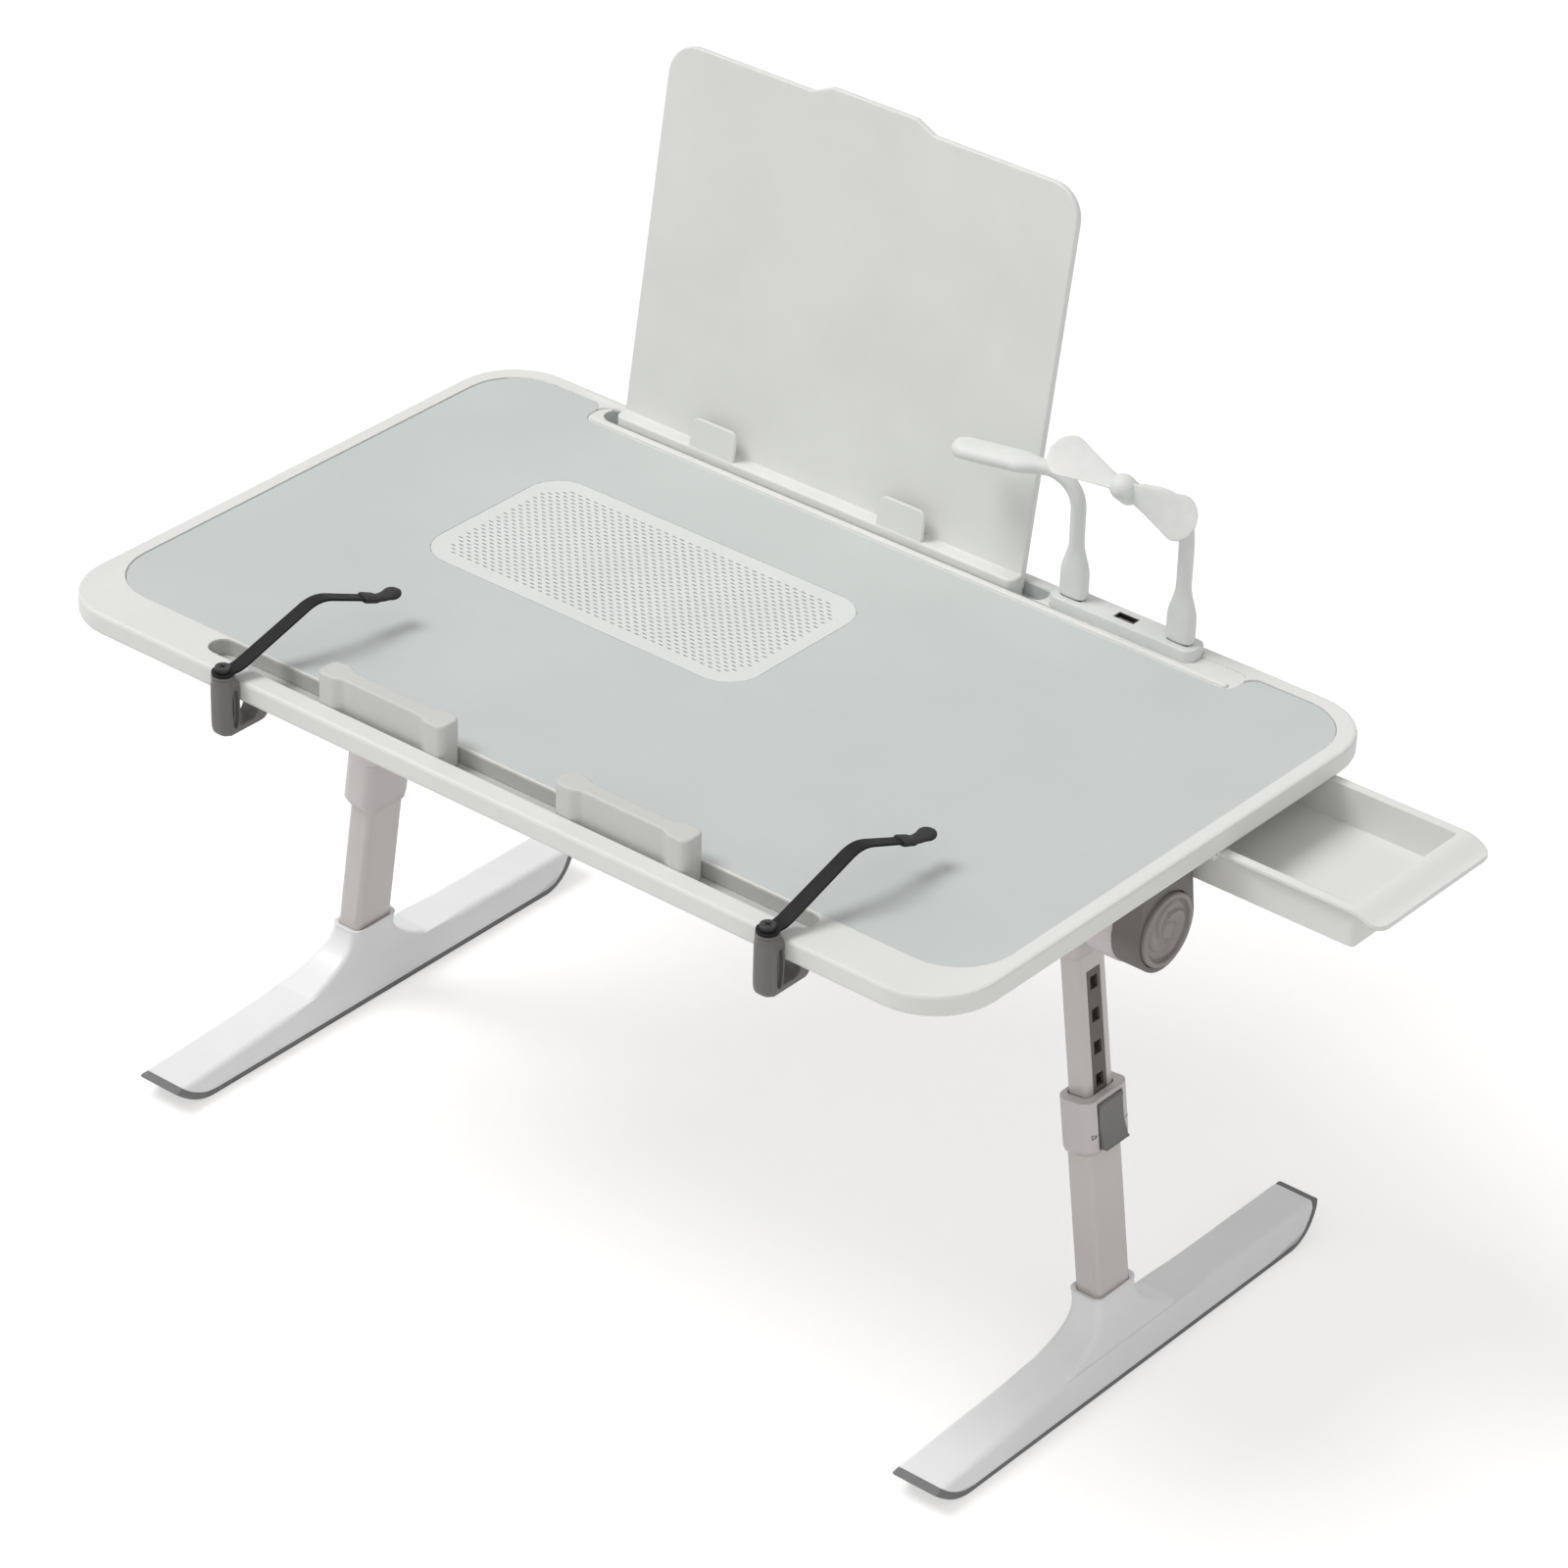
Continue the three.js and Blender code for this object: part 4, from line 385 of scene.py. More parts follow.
def circuit_mask(name, rgb):
    """Circuit board: green mask over copper tracks that run in straight lines."""
    finish, place = new_finish(name)
    tracks = finish.node(
        "ShaderNodeTexBrick",
        {"offset": 0.5},
        {
            "Vector": place,
            "Scale": 1,
            "Mortar Size": 0.4 * MM,
            "Brick Width": 6 * MM,
            "Row Height": 2 * MM,
            "Mortar Smooth": 0.1,
        },
        out="Fac",
    )
    cloud = finish.noise(place, 4, 3)
    soft = finish.soft_normal(0.2 * MM)
    base = finish.blend(shade(rgb, 0.85), shade(rgb, 1.2), cloud)
    base = finish.blend(base, shade(rgb, 1.9), tracks * 0.7)
    return finish.surface(base, 0.35 + cloud * 0.1, finish.bump(tracks, 0.4, 0.05 * MM, soft))


FINISHES = {}


def make_finishes(colours):
    """Fills the table of finishes from the chosen colours."""
    # Painted shade: the tilt brackets wear the taupe darkened to 0.55, a shaded copy of the discs'
    # colour
    drum = tuple(channel * 0.55 for channel in colours.taupe)
    FINISHES.update(
        rim=moulded("rim_white", colours.rim, 0.46),
        panel=panel_film("panel_grey", colours.panel),
        stop=moulded("stop_grey", linear(203, 204, 201), 0.52, 0.6, 0.7),
        trough=moulded("trough_grey", linear(194, 195, 192), 0.5, 0.5, 0.6),
        vent=moulded("vent_white", colours.vent, 0.5, 0.4, 0.5, 0.25),
        hub=moulded("hub_white", colours.hub, 0.4, 0.4, 0.5, 0.9),
        shell=moulded("shell_white", colours.shell, 0.4, 0.4, 0.5, 1.1),
        tube=powder_paint("tube_paint", colours.tube, 0.34, 0.15),
        foot=powder_paint("foot_paint", colours.foot, 0.4, 0.0, False),
        taupe=moulded("taupe_plastic", colours.taupe, 0.46, 0.6, 0.6, 0.8, 0.05),
        drum=moulded("drum_plastic", drum, 0.5, 0.6, 0.6, 0.8, 0.05),
        notch=moulded("notch_plastic", colours.notch, 0.5, 0.6, 0.5, 0.4, 0.06),
        latch=moulded("latch_plastic", colours.latch, 0.48, 0.7, 0.6, 0.7, 0.05),
        bracket=moulded("bracket_plastic", colours.bracket, 0.45, 0.6, 0.6, 1.0, 0.06),
        arm=black_coat("arm_black", colours.arm),
        screw=black_coat("screw_black", linear(58, 58, 60), 0.35),
        pad=soft_rubber("pad_rubber", linear(26, 26, 27), 0.72),
        rubber=soft_rubber("sole_rubber", colours.rubber),
        silicone=soft_silicone("silicone_white", colours.silicone),
        steel=brushed_steel("brushed_steel", colours.steel),
        # Painted shade: the USB ports wear a darker, duller copy of the steel
        port=brushed_steel("port_steel_painted_shade", linear(92, 89, 87), 0.5),
        gold=brushed_steel("contact_gold", linear(212, 170, 96), 0.25),
        black=moulded("black_plastic", linear(40, 40, 42), 0.5, 0.6, 0.5, 0.4, 0.1),
        # Painted shade: a deep grey finish for the sheet that stands for the shade in the gap at
        # each latch
        dark=moulded("dark_gap", linear(56, 56, 58), 0.7, 0.5, 0.5, 0.3, 0.1),
        tongue=moulded("port_tongue", linear(128, 124, 119), 0.5, 0.4, 0.4, 0.2, 0.05),
        circuit=circuit_mask("circuit_green", colours.circuit),
        lens=moulded("lens_white", linear(238, 236, 224), 0.25, 0.2, 0.4, 0.3, 0.01),
    )


# Mesh helpers

WELD = 0.002 * MM
FLAT = math.radians(0.4)
ALONG_X = Matrix(((0, 0, 1), (1, 0, 0), (0, 1, 0)))


def to_frame(point):
    return (Vector(point) + ORIGIN) * MM


def new_object(name, data):
    made = bpy.data.objects.new(name, data)
    bpy.context.scene.collection.objects.link(made)
    return made


def finished(mesh, made, angle, finish, body, nodes=()):
    """One object: its shading and finish, the body it rides on, the nodes it stands for."""
    if not FINISHES:
        make_finishes(bpy.context.scene.bedtable_colours)
    made.to_mesh(mesh)
    made.free()
    mesh.shade_smooth()
    mesh.set_sharp_from_angle(angle=math.radians(angle))
    mesh.materials.append(FINISHES[finish])
    piece = new_object(mesh.name, mesh)
    # Each vertex takes its direction from the largest faces round it, so flats stay flat
    even = piece.modifiers.new("even_shading", "WEIGHTED_NORMAL")
    even.mode = "FACE_AREA"
    even.keep_sharp = True
    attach(piece, body)
    if nodes:
        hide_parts(*nodes)


def shaped(name, shells, finish, body, nodes=(), angle=35):
    """One object from shells of (vertices, faces) in millimetres."""
    vertices, faces = [], []
    for points, sides in shells:
        start = len(vertices)
        vertices += [to_frame(p) for p in points]
        faces += [[start + i for i in side] for side in sides]
    mesh = bpy.data.meshes.new(name)
    mesh.from_pydata(vertices, [], faces)
    mesh.validate()
    made = bmesh.new()
    made.from_mesh(mesh)
    bmesh.ops.recalc_face_normals(made, faces=made.faces)
    finished(mesh, made, angle, finish, body, nodes)


def smoothed(node, finish, slot, angle=32, shrink=(1, 1, 1)):
    """Stands for a node with its own shape, welded and shaded smooth over its curves."""
    made = bmesh.new()
    made.from_mesh(frame["nodes"][node].data)
    bmesh.ops.remove_doubles(made, verts=made.verts, dist=WELD)
    bmesh.ops.dissolve_degenerate(made, dist=WELD, edges=made.edges)
    bmesh.ops.dissolve_limit(made, angle_limit=FLAT, verts=made.verts, edges=made.edges)
    low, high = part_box(node)
    middle = Matrix.Translation((low + high) / 2)
    resize = middle @ Matrix.Diagonal((*shrink, 1)) @ middle.inverted()
    bmesh.ops.transform(made, verts=made.verts, matrix=resize)
    mesh = bpy.data.meshes.new(f"{node}_skin")
    finished(mesh, made, angle, finish, frame["nodes"][node]["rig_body"], [node])


def remade(node, shells, finish, angle, name=None):
    """Stands for a node with a finer shape, on the node's own body."""
    body = frame["nodes"][node]["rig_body"]
    shaped(name or f"{node}_skin", shells, finish, body, [node], angle)


def ease(share):
    """A share from 0 to 1 that starts and ends slowly."""
    share = min(1, max(0, share))
    return share * share * (3 - 2 * share)


def mix(first, second, share):
    return first + (second - first) * share


def spread(stations, share):
    """Smooth value between (share, value) stations."""
    for (a, first), (b, second) in zip(stations, stations[1:]):
        if share <= b:
            return mix(first, second, ease((share - a) / (b - a)))
    return stations[-1][1]


def bent(a, b, c, steps):
    """Points of a curve that leaves a towards b and reaches c from b."""
    shares = [k / steps for k in range(steps + 1)]
    return [a * (1 - t) ** 2 + b * 2 * t * (1 - t) + c * t * t for t in shares]


def rectangle(x, y):
    return [(-x, -y), (x, -y), (x, y), (-x, y)]


def both_sides(half):
    """An outline from its right half."""
    return half + [(-x, y) for x, y in reversed(half)]


def arc(x, y, radius, start, end, steps):
    angles = [math.radians(start + (end - start) * i / steps) for i in range(steps + 1)]
    return [(x + radius * math.cos(a), y + radius * math.sin(a)) for a in angles]


def circle(radius, sides):
    return arc(0, 0, radius, 0, 360 - 360 / sides, sides - 1)


def rounded_outline(width, depth, radius, steps=8):
    x, y = width / 2 - radius, depth / 2 - radius
    return (
        arc(x, y, radius, 0, 90, steps)
        + arc(-x, y, radius, 90, 180, steps)
        + arc(-x, -y, radius, 180, 270, steps)
        + arc(x, -y, radius, 270, 360, steps)
    )


def inset(outline, amount):
    """An anticlockwise outline moved inward by an even amount."""
    inner = []
    for i, point in enumerate(outline):
        here = Vector(point)
        into = (here - Vector(outline[i - 1])).normalized()
        away = (Vector(outline[(i + 1) % len(outline)]) - here).normalized()
        mean = into + away
        mean = mean.normalized() if mean.length > 1e-6 else into
        inward = Vector((-mean.y, mean.x))
        share = max(0.5, abs(inward.dot(Vector((-into.y, into.x)))))
        inner.append(tuple(here + inward * amount / share))
    return inner


def loft(rings):
    """Vertices and faces of a closed skin through rings of equal count."""
    count = len(rings[0])
    points = [point for ring in rings for point in ring]
    faces = []
    for r in range(len(rings) - 1):
        for i in range(count):
            a, b = r * count + i, r * count + (i + 1) % count
            faces.append([a, b, b + count, a + count])
    faces.append(list(range(count))[::-1])
    faces.append([len(points) - count + i for i in range(count)])
    return points, faces


def prism(outline, low, high, top=0.0, bottom=0.0, steps=4):
    """A slab between two heights with its top and bottom edges rounded over."""
    turns = [math.radians(90 * k / steps) for k in range(steps + 1)]
    below = [(bottom * (1 - math.sin(t)), low + bottom * (1 - math.cos(t))) for t in turns]
    above = [(top * (1 - math.cos(t)), high - top * (1 - math.sin(t))) for t in turns]
    levels = (below if bottom else [(0, low)]) + (above if top else [(0, high)])
    return loft([[(x, y, z) for x, y in inset(outline, back)] for back, z in levels])


def moved(shell, x=0, y=0, z=0):
    points, faces = shell
    return [(p[0] + x, p[1] + y, p[2] + z) for p in points], faces


def turned(shell, matrix):
    points, faces = shell
    return [tuple(matrix @ Vector(p)) for p in points], faces


def mirrored(shell, sign):
    """The same shell on the left side of the desk when `sign` is -1."""
    points, faces = shell
    return [(p[0] * sign, p[1], p[2]) for p in points], faces


def lathe(profile, sides=48):
    """A turned shell about Z from (height, radius) points."""
    return loft([[(x, y, z) for x, y in circle(radius, sides)] for z, radius in profile])


def oval(centre, across, up, width, height, power, sides=32):
    """Ring of a superellipse in the plane of two unit vectors."""
    ring = []
    for i in range(sides):
        angle = 2 * math.pi * i / sides
        c, s = math.cos(angle), math.sin(angle)
        x = math.copysign(abs(c) ** (2 / power), c) * width / 2
        y = math.copysign(abs(s) ** (2 / power), s) * height / 2
        ring.append(tuple(centre + across * x + up * y))
    return ring


# Pieces

X, Y, Z = Vector((1, 0, 0)), Vector((0, 1, 0)), Vector((0, 0, 1))

# Where things are on the table, in millimetres; the pivot is the right leg's fold pin
PIVOT = Vector((247, 16, 295))
DISC_X = 303.3
SPLAY = math.radians(7.5)
LEG_LENGTH = PIVOT.z / math.cos(SPLAY)
FOOT_X = PIVOT.x + LEG_LENGTH * math.sin(SPLAY)
BRACKET_X = 280
BRACKET_SCREW_Z = 332.7
TROUGH_Y = -171.3
SLOT_Y = 177.4
HUB_Y = 179.3
HUB_TOP = 356
PLUG_TOP = 356.4
SOCKETS = {"lamp": 115, "middle": 152, "fan": 189}


class BEDTABLE_OT_desk(bpy.types.Operator):
    """Moulded rim, writing surface, cover underneath and the drawer's rails"""

    bl_idname = "bedtable.desk"
    bl_label = "Desk"

    def execute(self, context):
        smoothed("tray_frame", "rim", "white_shell", 24)
        smoothed("desk_panel", "panel", "grey_inset")
        for node in ("underside_cover", "drawer_rail_front", "drawer_rail_back"):
            smoothed(node, "rim", "white_shell")
        for side, sign in SIDES.items():
            places = [(BRACKET_X + x, PIVOT.y + y) for x in (-20, 20) for y in (-14, 14)]
            screws = [
                moved(part, sign * x, y, BRACKET_SCREW_Z)
                for x, y in places
                for part in small_screw(3.4)
            ]
            shaped(f"bracket_screws_{side}", screws, "steel", "desk")
        self.liner("trough_liner", "trough", (3, TROUGH_Y), (430, 16.6), 340, 348.9)
        self.liner("slot_liner", "panel", (-66, SLOT_Y), (328, 14.4), 340.5, 348.4)
        return {"FINISHED"}

    def liner(self, name, finish, middle, size, floor, top):
        """Thin lining of a trough whose ends are round."""
        width, depth = size
        skin, gap = 0.15, 0.03
        outer = rounded_outline(width - 2 * gap, depth - 2 * gap, depth / 2 - 0.04, 10)
        inner = rounded_outline(width - 2 * skin, depth - 2 * skin, depth / 2 - skin - 0.01, 10)
        levels = ((outer, floor + gap), (outer, top), (inner, top), (inner, floor + skin))
        shell = loft([[(x, y, z) for x, y in outline] for outline, z in levels])
        shaped(name, [moved(shell, *middle)], finish, "desk")


def small_screw(radius):
    """A pan-head screw seen from below, with a cross in its head; z = 0 is under the head."""
    head = [(0.0, radius), (-0.5, radius * 0.98), (-1.1, radius * 0.82), (-1.5, radius * 0.45)]
    arms = ((radius * 0.55, 0.35), (0.35, radius * 0.55))
    return [lathe(head, 24), *(prism(rectangle(x, y), -1.62, -1.4) for x, y in arms)]


VENT = {"width": 236, "depth": 120, "radius": 22, "thick": 3, "middle": (-84, 41, 347.8)}


class BEDTABLE_OT_vent(bpy.types.Operator):
    """Vent plate with its rows of small staggered slots"""

    bl_idname = "bedtable.vent"
    bl_label = "Vent"

    def execute(self, context):
        sizes = context.scene.bedtable_sizes
        long, wide = sizes.slot_length / MM, sizes.slot_width / MM
        places = self.places(sizes, long, wide)
        if not places:
            raise RuntimeError("the vent has no room for a slot")
        end = (long - wide) / 2
        slot = arc(end, 0, wide / 2, -90, 90, 3) + arc(-end, 0, wide / 2, 90, 270, 3)
        lines = [rounded_outline(VENT["width"], VENT["depth"], VENT["radius"], 10)]
        lines += [[(x + a, y + b) for a, b in slot] for x, y in places]
        curve = bpy.data.curves.new("vent_lines", "CURVE")
        curve.dimensions = "2D"
        curve.fill_mode = "BOTH"
        curve.extrude = VENT["thick"] / 2 * MM
        for line in lines:
            spline = curve.splines.new("POLY")
            spline.points.add(len(line) - 1)
            for knot, (x, y) in zip(spline.points, line):
                knot.co = (x * MM, y * MM, 0, 1)
            spline.use_cyclic_u = True
        plate = new_object("vent_lines", curve)
        context.view_layer.update()
        filled = plate.evaluated_get(context.evaluated_depsgraph_get())
        mesh = bpy.data.meshes.new_from_object(filled)
        bpy.data.objects.remove(plate)
        mesh.name = "vent_grille"
        mesh.transform(Matrix.Translation(to_frame(VENT["middle"])))
        made = bmesh.new()
        made.from_mesh(mesh)
        bmesh.ops.remove_doubles(made, verts=made.verts, dist=WELD)
        finished(mesh, made, 40, "vent", "desk", ["vent_panel"])
        return {"FINISHED"}

    def places(self, sizes, long, wide):
        """Middles of the slots that fit inside the plain border; every other row is shifted."""
        border = sizes.slot_border / MM
        pitch, row_pitch = sizes.slot_pitch / MM, sizes.row_pitch / MM
        field_x, field_y = VENT["width"] / 2 - border, VENT["depth"] / 2 - border
        field_r = VENT["radius"] - border * 0.3
        rows, columns = int(2 * field_y / row_pitch), int(field_x / pitch) + 1
        found = []
        for row in range(rows + 1):
            y = (row - rows / 2) * row_pitch
            for column in range(-columns, columns + 1):
                x = (column + (row % 2) / 2) * pitch
                past_x = max(0, abs(x) + long / 2 - (field_x - field_r))
                past_y = max(0, abs(y) + wide / 2 - (field_y - field_r))
                if math.hypot(past_x, past_y) <= field_r:
                    found.append((x, y))
        return found


class BEDTABLE_OT_cooler(bpy.types.Operator):
    """Slim fan under the vent"""

    bl_idname = "bedtable.cooler"
    bl_label = "Cooling fan"

    def execute(self, context):
        for node in ("cooling_fan_frame", "cooling_fan_rotor"):
            smoothed(node, "black", "fan_black")
        return {"FINISHED"}


class BEDTABLE_OT_hub(bpy.types.Operator):
    """Hub, its three ports and the board inside"""

    bl_idname = "bedtable.hub"
    bl_label = "Hub"

    def execute(self, context):
        smoothed("hub_case", "hub", "hub_shell", 28)
        # The ports wear the steel's painted-shade copy
        for where in ("left", "middle", "right"):
            smoothed(f"usb_port_{where}", "port", "steel")
        smoothed("hub_circuit_board", "circuit", "circuit_green")
        x = SOCKETS["middle"]
        tongue = prism(rounded_outline(9.6, 1.5, 0.2, 2), HUB_TOP - 11, HUB_TOP - 1.3)
        shaped("port_tongue", [moved(tongue, x, HUB_Y - 0.75)], "tongue", "desk")
        strip = prism(rectangle(0.5, 0.06), HUB_TOP - 8, HUB_TOP - 1.6)
        strips = [moved(strip, x + step * 2.1, HUB_Y + 0.05) for step in (-1.5, -0.5, 0.5, 1.5)]
        shaped("port_contacts", strips, "gold", "desk")
        return {"FINISHED"}


NECK = 8.8
GRIP = {"width": 17.6, "depth": 9.8, "height": 36, "straight": 14, "narrow": 35}


def grip_rings():
    """The flattened grip at the foot of a neck, from its underside up."""
    wide, deep = GRIP["width"], GRIP["depth"]
    rings = []
    for z, back in ((0, 1.5), (0.35, 0.7), (1.2, 0.1), (2.2, 0)):
        rings.append(oval(Z * z, X, Y, wide - 2 * back, deep - 2 * back, 2.9))
    for k in range(1, 19):
        z = mix(2.2, GRIP["height"], k / 18)
        share = ease((z - GRIP["straight"]) / (GRIP["narrow"] - GRIP["straight"]))
        size = (mix(wide, NECK, share), mix(deep, NECK, share))
        rings.append(oval(Z * z, X, Y, *size, 2.9 - 0.9 * share))
    return rings


def round_end(left, radius):
    """Share of the full width where so much is left before a round end."""
    return math.sqrt(max(0.0, 1 - ((radius - left) / radius) ** 2)) if left < radius else 1


class BEDTABLE_OT_lamp(bpy.types.Operator):
    """Lamp on its soft neck"""

    bl_idname = "bedtable.lamp"
    bl_label = "Lamp"

    def execute(self, context):
        turn, droop = math.radians(11), math.radians(2)
        outward = Vector((-math.cos(turn), -math.sin(turn), 0))
        across = outward.cross(Z)
        bend, rise, reach = 20, 75, 58.5
        corner = Z * (rise - bend) + outward * bend
        start = math.atan2(X.dot(outward), X.dot(across))

        def ring(spot, lift, width, height, power):
            """A ring that begins on the same side as the grip's, so the skin isn't twisted."""
            made = oval(spot, across, lift, width, height, power)
            shift = round(start / (2 * math.pi) * len(made))
            return made[shift:] + made[:shift]

        rings = grip_rings()
        full = math.pi / 2 + droop
        for k in range(19):
            angle = full * k / 18
            lift = outward * math.cos(angle) - Z * math.sin(angle)
            tip = corner - lift * bend
            rings.append(ring(tip, lift, NECK, NECK, 2))
        along = Z * math.cos(full) + outward * math.sin(full)
        for k in range(1, 35):
            out = reach * k / 34
            grown, left = ease(out / 16), reach - out
            width = mix(NECK, 18.5, grown) * round_end(left, 9)
            height = mix(NECK, 10.2, grown) * round_end(left, 5)
            rings.append(ring(tip + along * out, lift, max(0.5, width), max(0.5, height), 2.1))
        base = Vector((SOCKETS["lamp"], HUB_Y, PLUG_TOP))
        skin = moved(loft(rings), *base)
        remade("lamp_body", [skin], "silicone", 60, "lamp_skin")
        smoothed("lamp_plug", "steel", "steel")
        centre = base + tip + along * 34 + lift * 4.2
        outline = [centre + along * a + across * b for a, b in rounded_outline(34, 10, 5)]
        lens = loft([outline, [point + lift * 0.55 for point in outline]])
        shaped("lamp_lens", [lens], "lens", "lamp")
        return {"FINISHED"}


FAN_CENTRE = Vector((-33, -15, 89))


class BEDTABLE_OT_fan(bpy.types.Operator):
    """Fan on its soft neck, and its two blades"""

    bl_idname = "bedtable.fan"
    bl_label = "Fan"

    def execute(self, context):
        axis = Vector((0.25, -0.75, 0.61)).normalized()
        across = (X - axis * X.dot(axis)).normalized()
        turn = Matrix((across, axis.cross(across), axis)).transposed()
        base = Vector((SOCKETS["fan"], HUB_Y, PLUG_TOP))
        knots = (Z * 33, Z * 76.5, Vector((0, 7.5, 89)), FAN_CENTRE - axis * 7.5)
        rings = grip_rings()
        last, side = Z * GRIP["height"], X
        for k in range(1, 33):
            t = k / 32
            shares = ((1 - t) ** 3, 3 * t * (1 - t) ** 2, 3 * t * t * (1 - t), t**3)
            spot = sum((knot * share for knot, share in zip(knots, shares)), Vector())
            if spot.z < GRIP["height"] + 1 and k < 8:
                continue
            along = (spot - last).normalized()
            side = (side - along * side.dot(along)).normalized()
            rings.append(oval(spot, side, along.cross(side), NECK, NECK, 2))
            last = spot
        neck = moved(loft(rings), *base)
        pod = [(0, 3.0), (0.4, 5.4), (1.6, 6.8), (3.2, 7.3), (13, 7.3), (14.4, 6.9), (15, 6.2)]
        motor = moved(turned(lathe(pod), turn), *(base + FAN_CENTRE - axis * 15))
        remade("fan_body", [neck, motor], "silicone", 60, "fan_skin")
        smoothed("fan_plug", "steel", "steel")
        self.blades(base + FAN_CENTRE + axis * 0.3, turn)
        return {"FINISHED"}

    def blades(self, centre, turn):
        """Two soft paddles, widest past the middle, on a domed hub."""
        dome = [(0, 7.2), (0.3, 7.5), (4, 7.5), (6, 7.1), (8, 5.8)]
        dome += [(9.4, 4), (10.2, 2), (10.4, 0.3)]
        reach, root, gain, tip = 47, 9, 19.5, 0.33
        rings = []
        for k in range(41):
            out = k / 40
            width = root + gain * min(1, out / 0.8) ** 1.2
            if 1 - out < tip:
                width *= max(0, 1 - ((tip - 1 + out) / tip) ** 2.3) ** 0.5
            pitch = math.radians(mix(34, 16, out))
            wide = Vector((0, math.cos(pitch), math.sin(pitch)))
            thin = Vector((0, -math.sin(pitch), math.cos(pitch)))
            size = (max(0.6, width), 2.4 - 1.3 * ease(out * 1.6))
            rings.append(oval(Vector((reach * out, 0, 4)), wide, thin, *size, 2.2, 28))
        paddle = loft(rings)
        shells = [lathe(dome), paddle, turned(paddle, Matrix.Rotation(math.pi, 3, "Z"))]
        roll = turn @ Matrix.Rotation(math.radians(-5.5), 3, "Z")
        placed = [moved(turned(shell, roll), *centre) for shell in shells]
        remade("fan_blades", placed, "silicone", 50, "fan_paddles")


class BEDTABLE_OT_board(bpy.types.Operator):
    """Tablet board: leaning plate, foot and two lips"""

    bl_idname = "bedtable.board"
    bl_label = "Tablet board"

    def execute(self, context):
        upright = Matrix(((1, 0, 0), (0, 0, -1), (0, 1, 0)))
        lean = Matrix.Rotation(math.radians(-9.5), 3, "X") @ upright
        half, tall, corner = 148, 237, 20
        grip = [(44 - 14 * ease(k / 8), tall + 6 * ease(k / 8)) for k in range(9)]
        shoulder = arc(half - corner, tall - corner, corner, 0, 90, 12)
        plate = prism(both_sides([(half, 0.5), *shoulder, *grip]), -2.2, 2.2, 1.3, 1.3)
        half, tall, corner = 16.5, 18, 5
        shoulder = arc(half - corner, tall - corner, corner, 0, 90, 6)
        lip = prism(both_sides([(half, -4), *shoulder]), -1.2, 1.2, 0.7, 0.7, 3)
        foot = prism(rounded_outline(296, 13.6, 5, 6), 0, 13.6, 1.3, 1.2)
        shells = [moved(turned(plate, lean), 0, 3.2, 4.6), foot]
        shells += [moved(turned(lip, lean), x, -4.95, 13.6) for x in (-74.5, 65.5)]
        placed = [moved(shell, -70, SLOT_Y, 340.9) for shell in shells]
        remade("tablet_board", placed, "rim", 30)
        return {"FINISHED"}


class BEDTABLE_OT_stops(bpy.types.Operator):
    """Book stops in the front trough, waisted with a soft S at each end"""

    bl_idname = "bedtable.stops"
    bl_label = "Book stops"

    def execute(self, context):
        half, wide, waist, corner = 46, 7.9, 5.2, 4.6
        quarter = arc(half - corner, wide - corner, corner, 0, 90, 8)
        quarter += [(35 - 0.8 * k, mix(wide, waist, ease(k / 10))) for k in range(11)]
        upper = both_sides(quarter)
        stop = prism(upper + [(-x, -y) for x, y in upper], 340.4, 369, 1.4, 0.6)
        for side, x in (("left", -80), ("right", 91)):
            remade(f"book_stop_{side}", [moved(stop, x, TROUGH_Y)], "stop", 30)
        return {"FINISHED"}


CLIP_Y = -198.6
CLIPS = {"left": (-177, 77), "right": (209, 82)}
ARM_Z = 356.15
ARM_ELBOW = Vector((61, 27))
ARM_TIP = Vector((99, 14))
ARM_TILT = math.atan2(ARM_ELBOW.y - ARM_TIP.y, ARM_TIP.x - ARM_ELBOW.x)


def arm_path():
    """Side view of a page arm as (reach, rise) points from its eye to its end."""
    knee = Vector((9, 0))
    before, after = ARM_ELBOW.lerp(knee, 0.15), ARM_ELBOW.lerp(ARM_TIP, 0.22)
    points = [Vector((4 + k, 0)) for k in range(3)]
    points += bent(Vector((6, 0)), knee, knee.lerp(ARM_ELBOW, 0.08), 10)
    points += bent(before, ARM_ELBOW, after, 10)
    return points + [after.lerp(ARM_TIP, k / 4) for k in range(1, 5)]


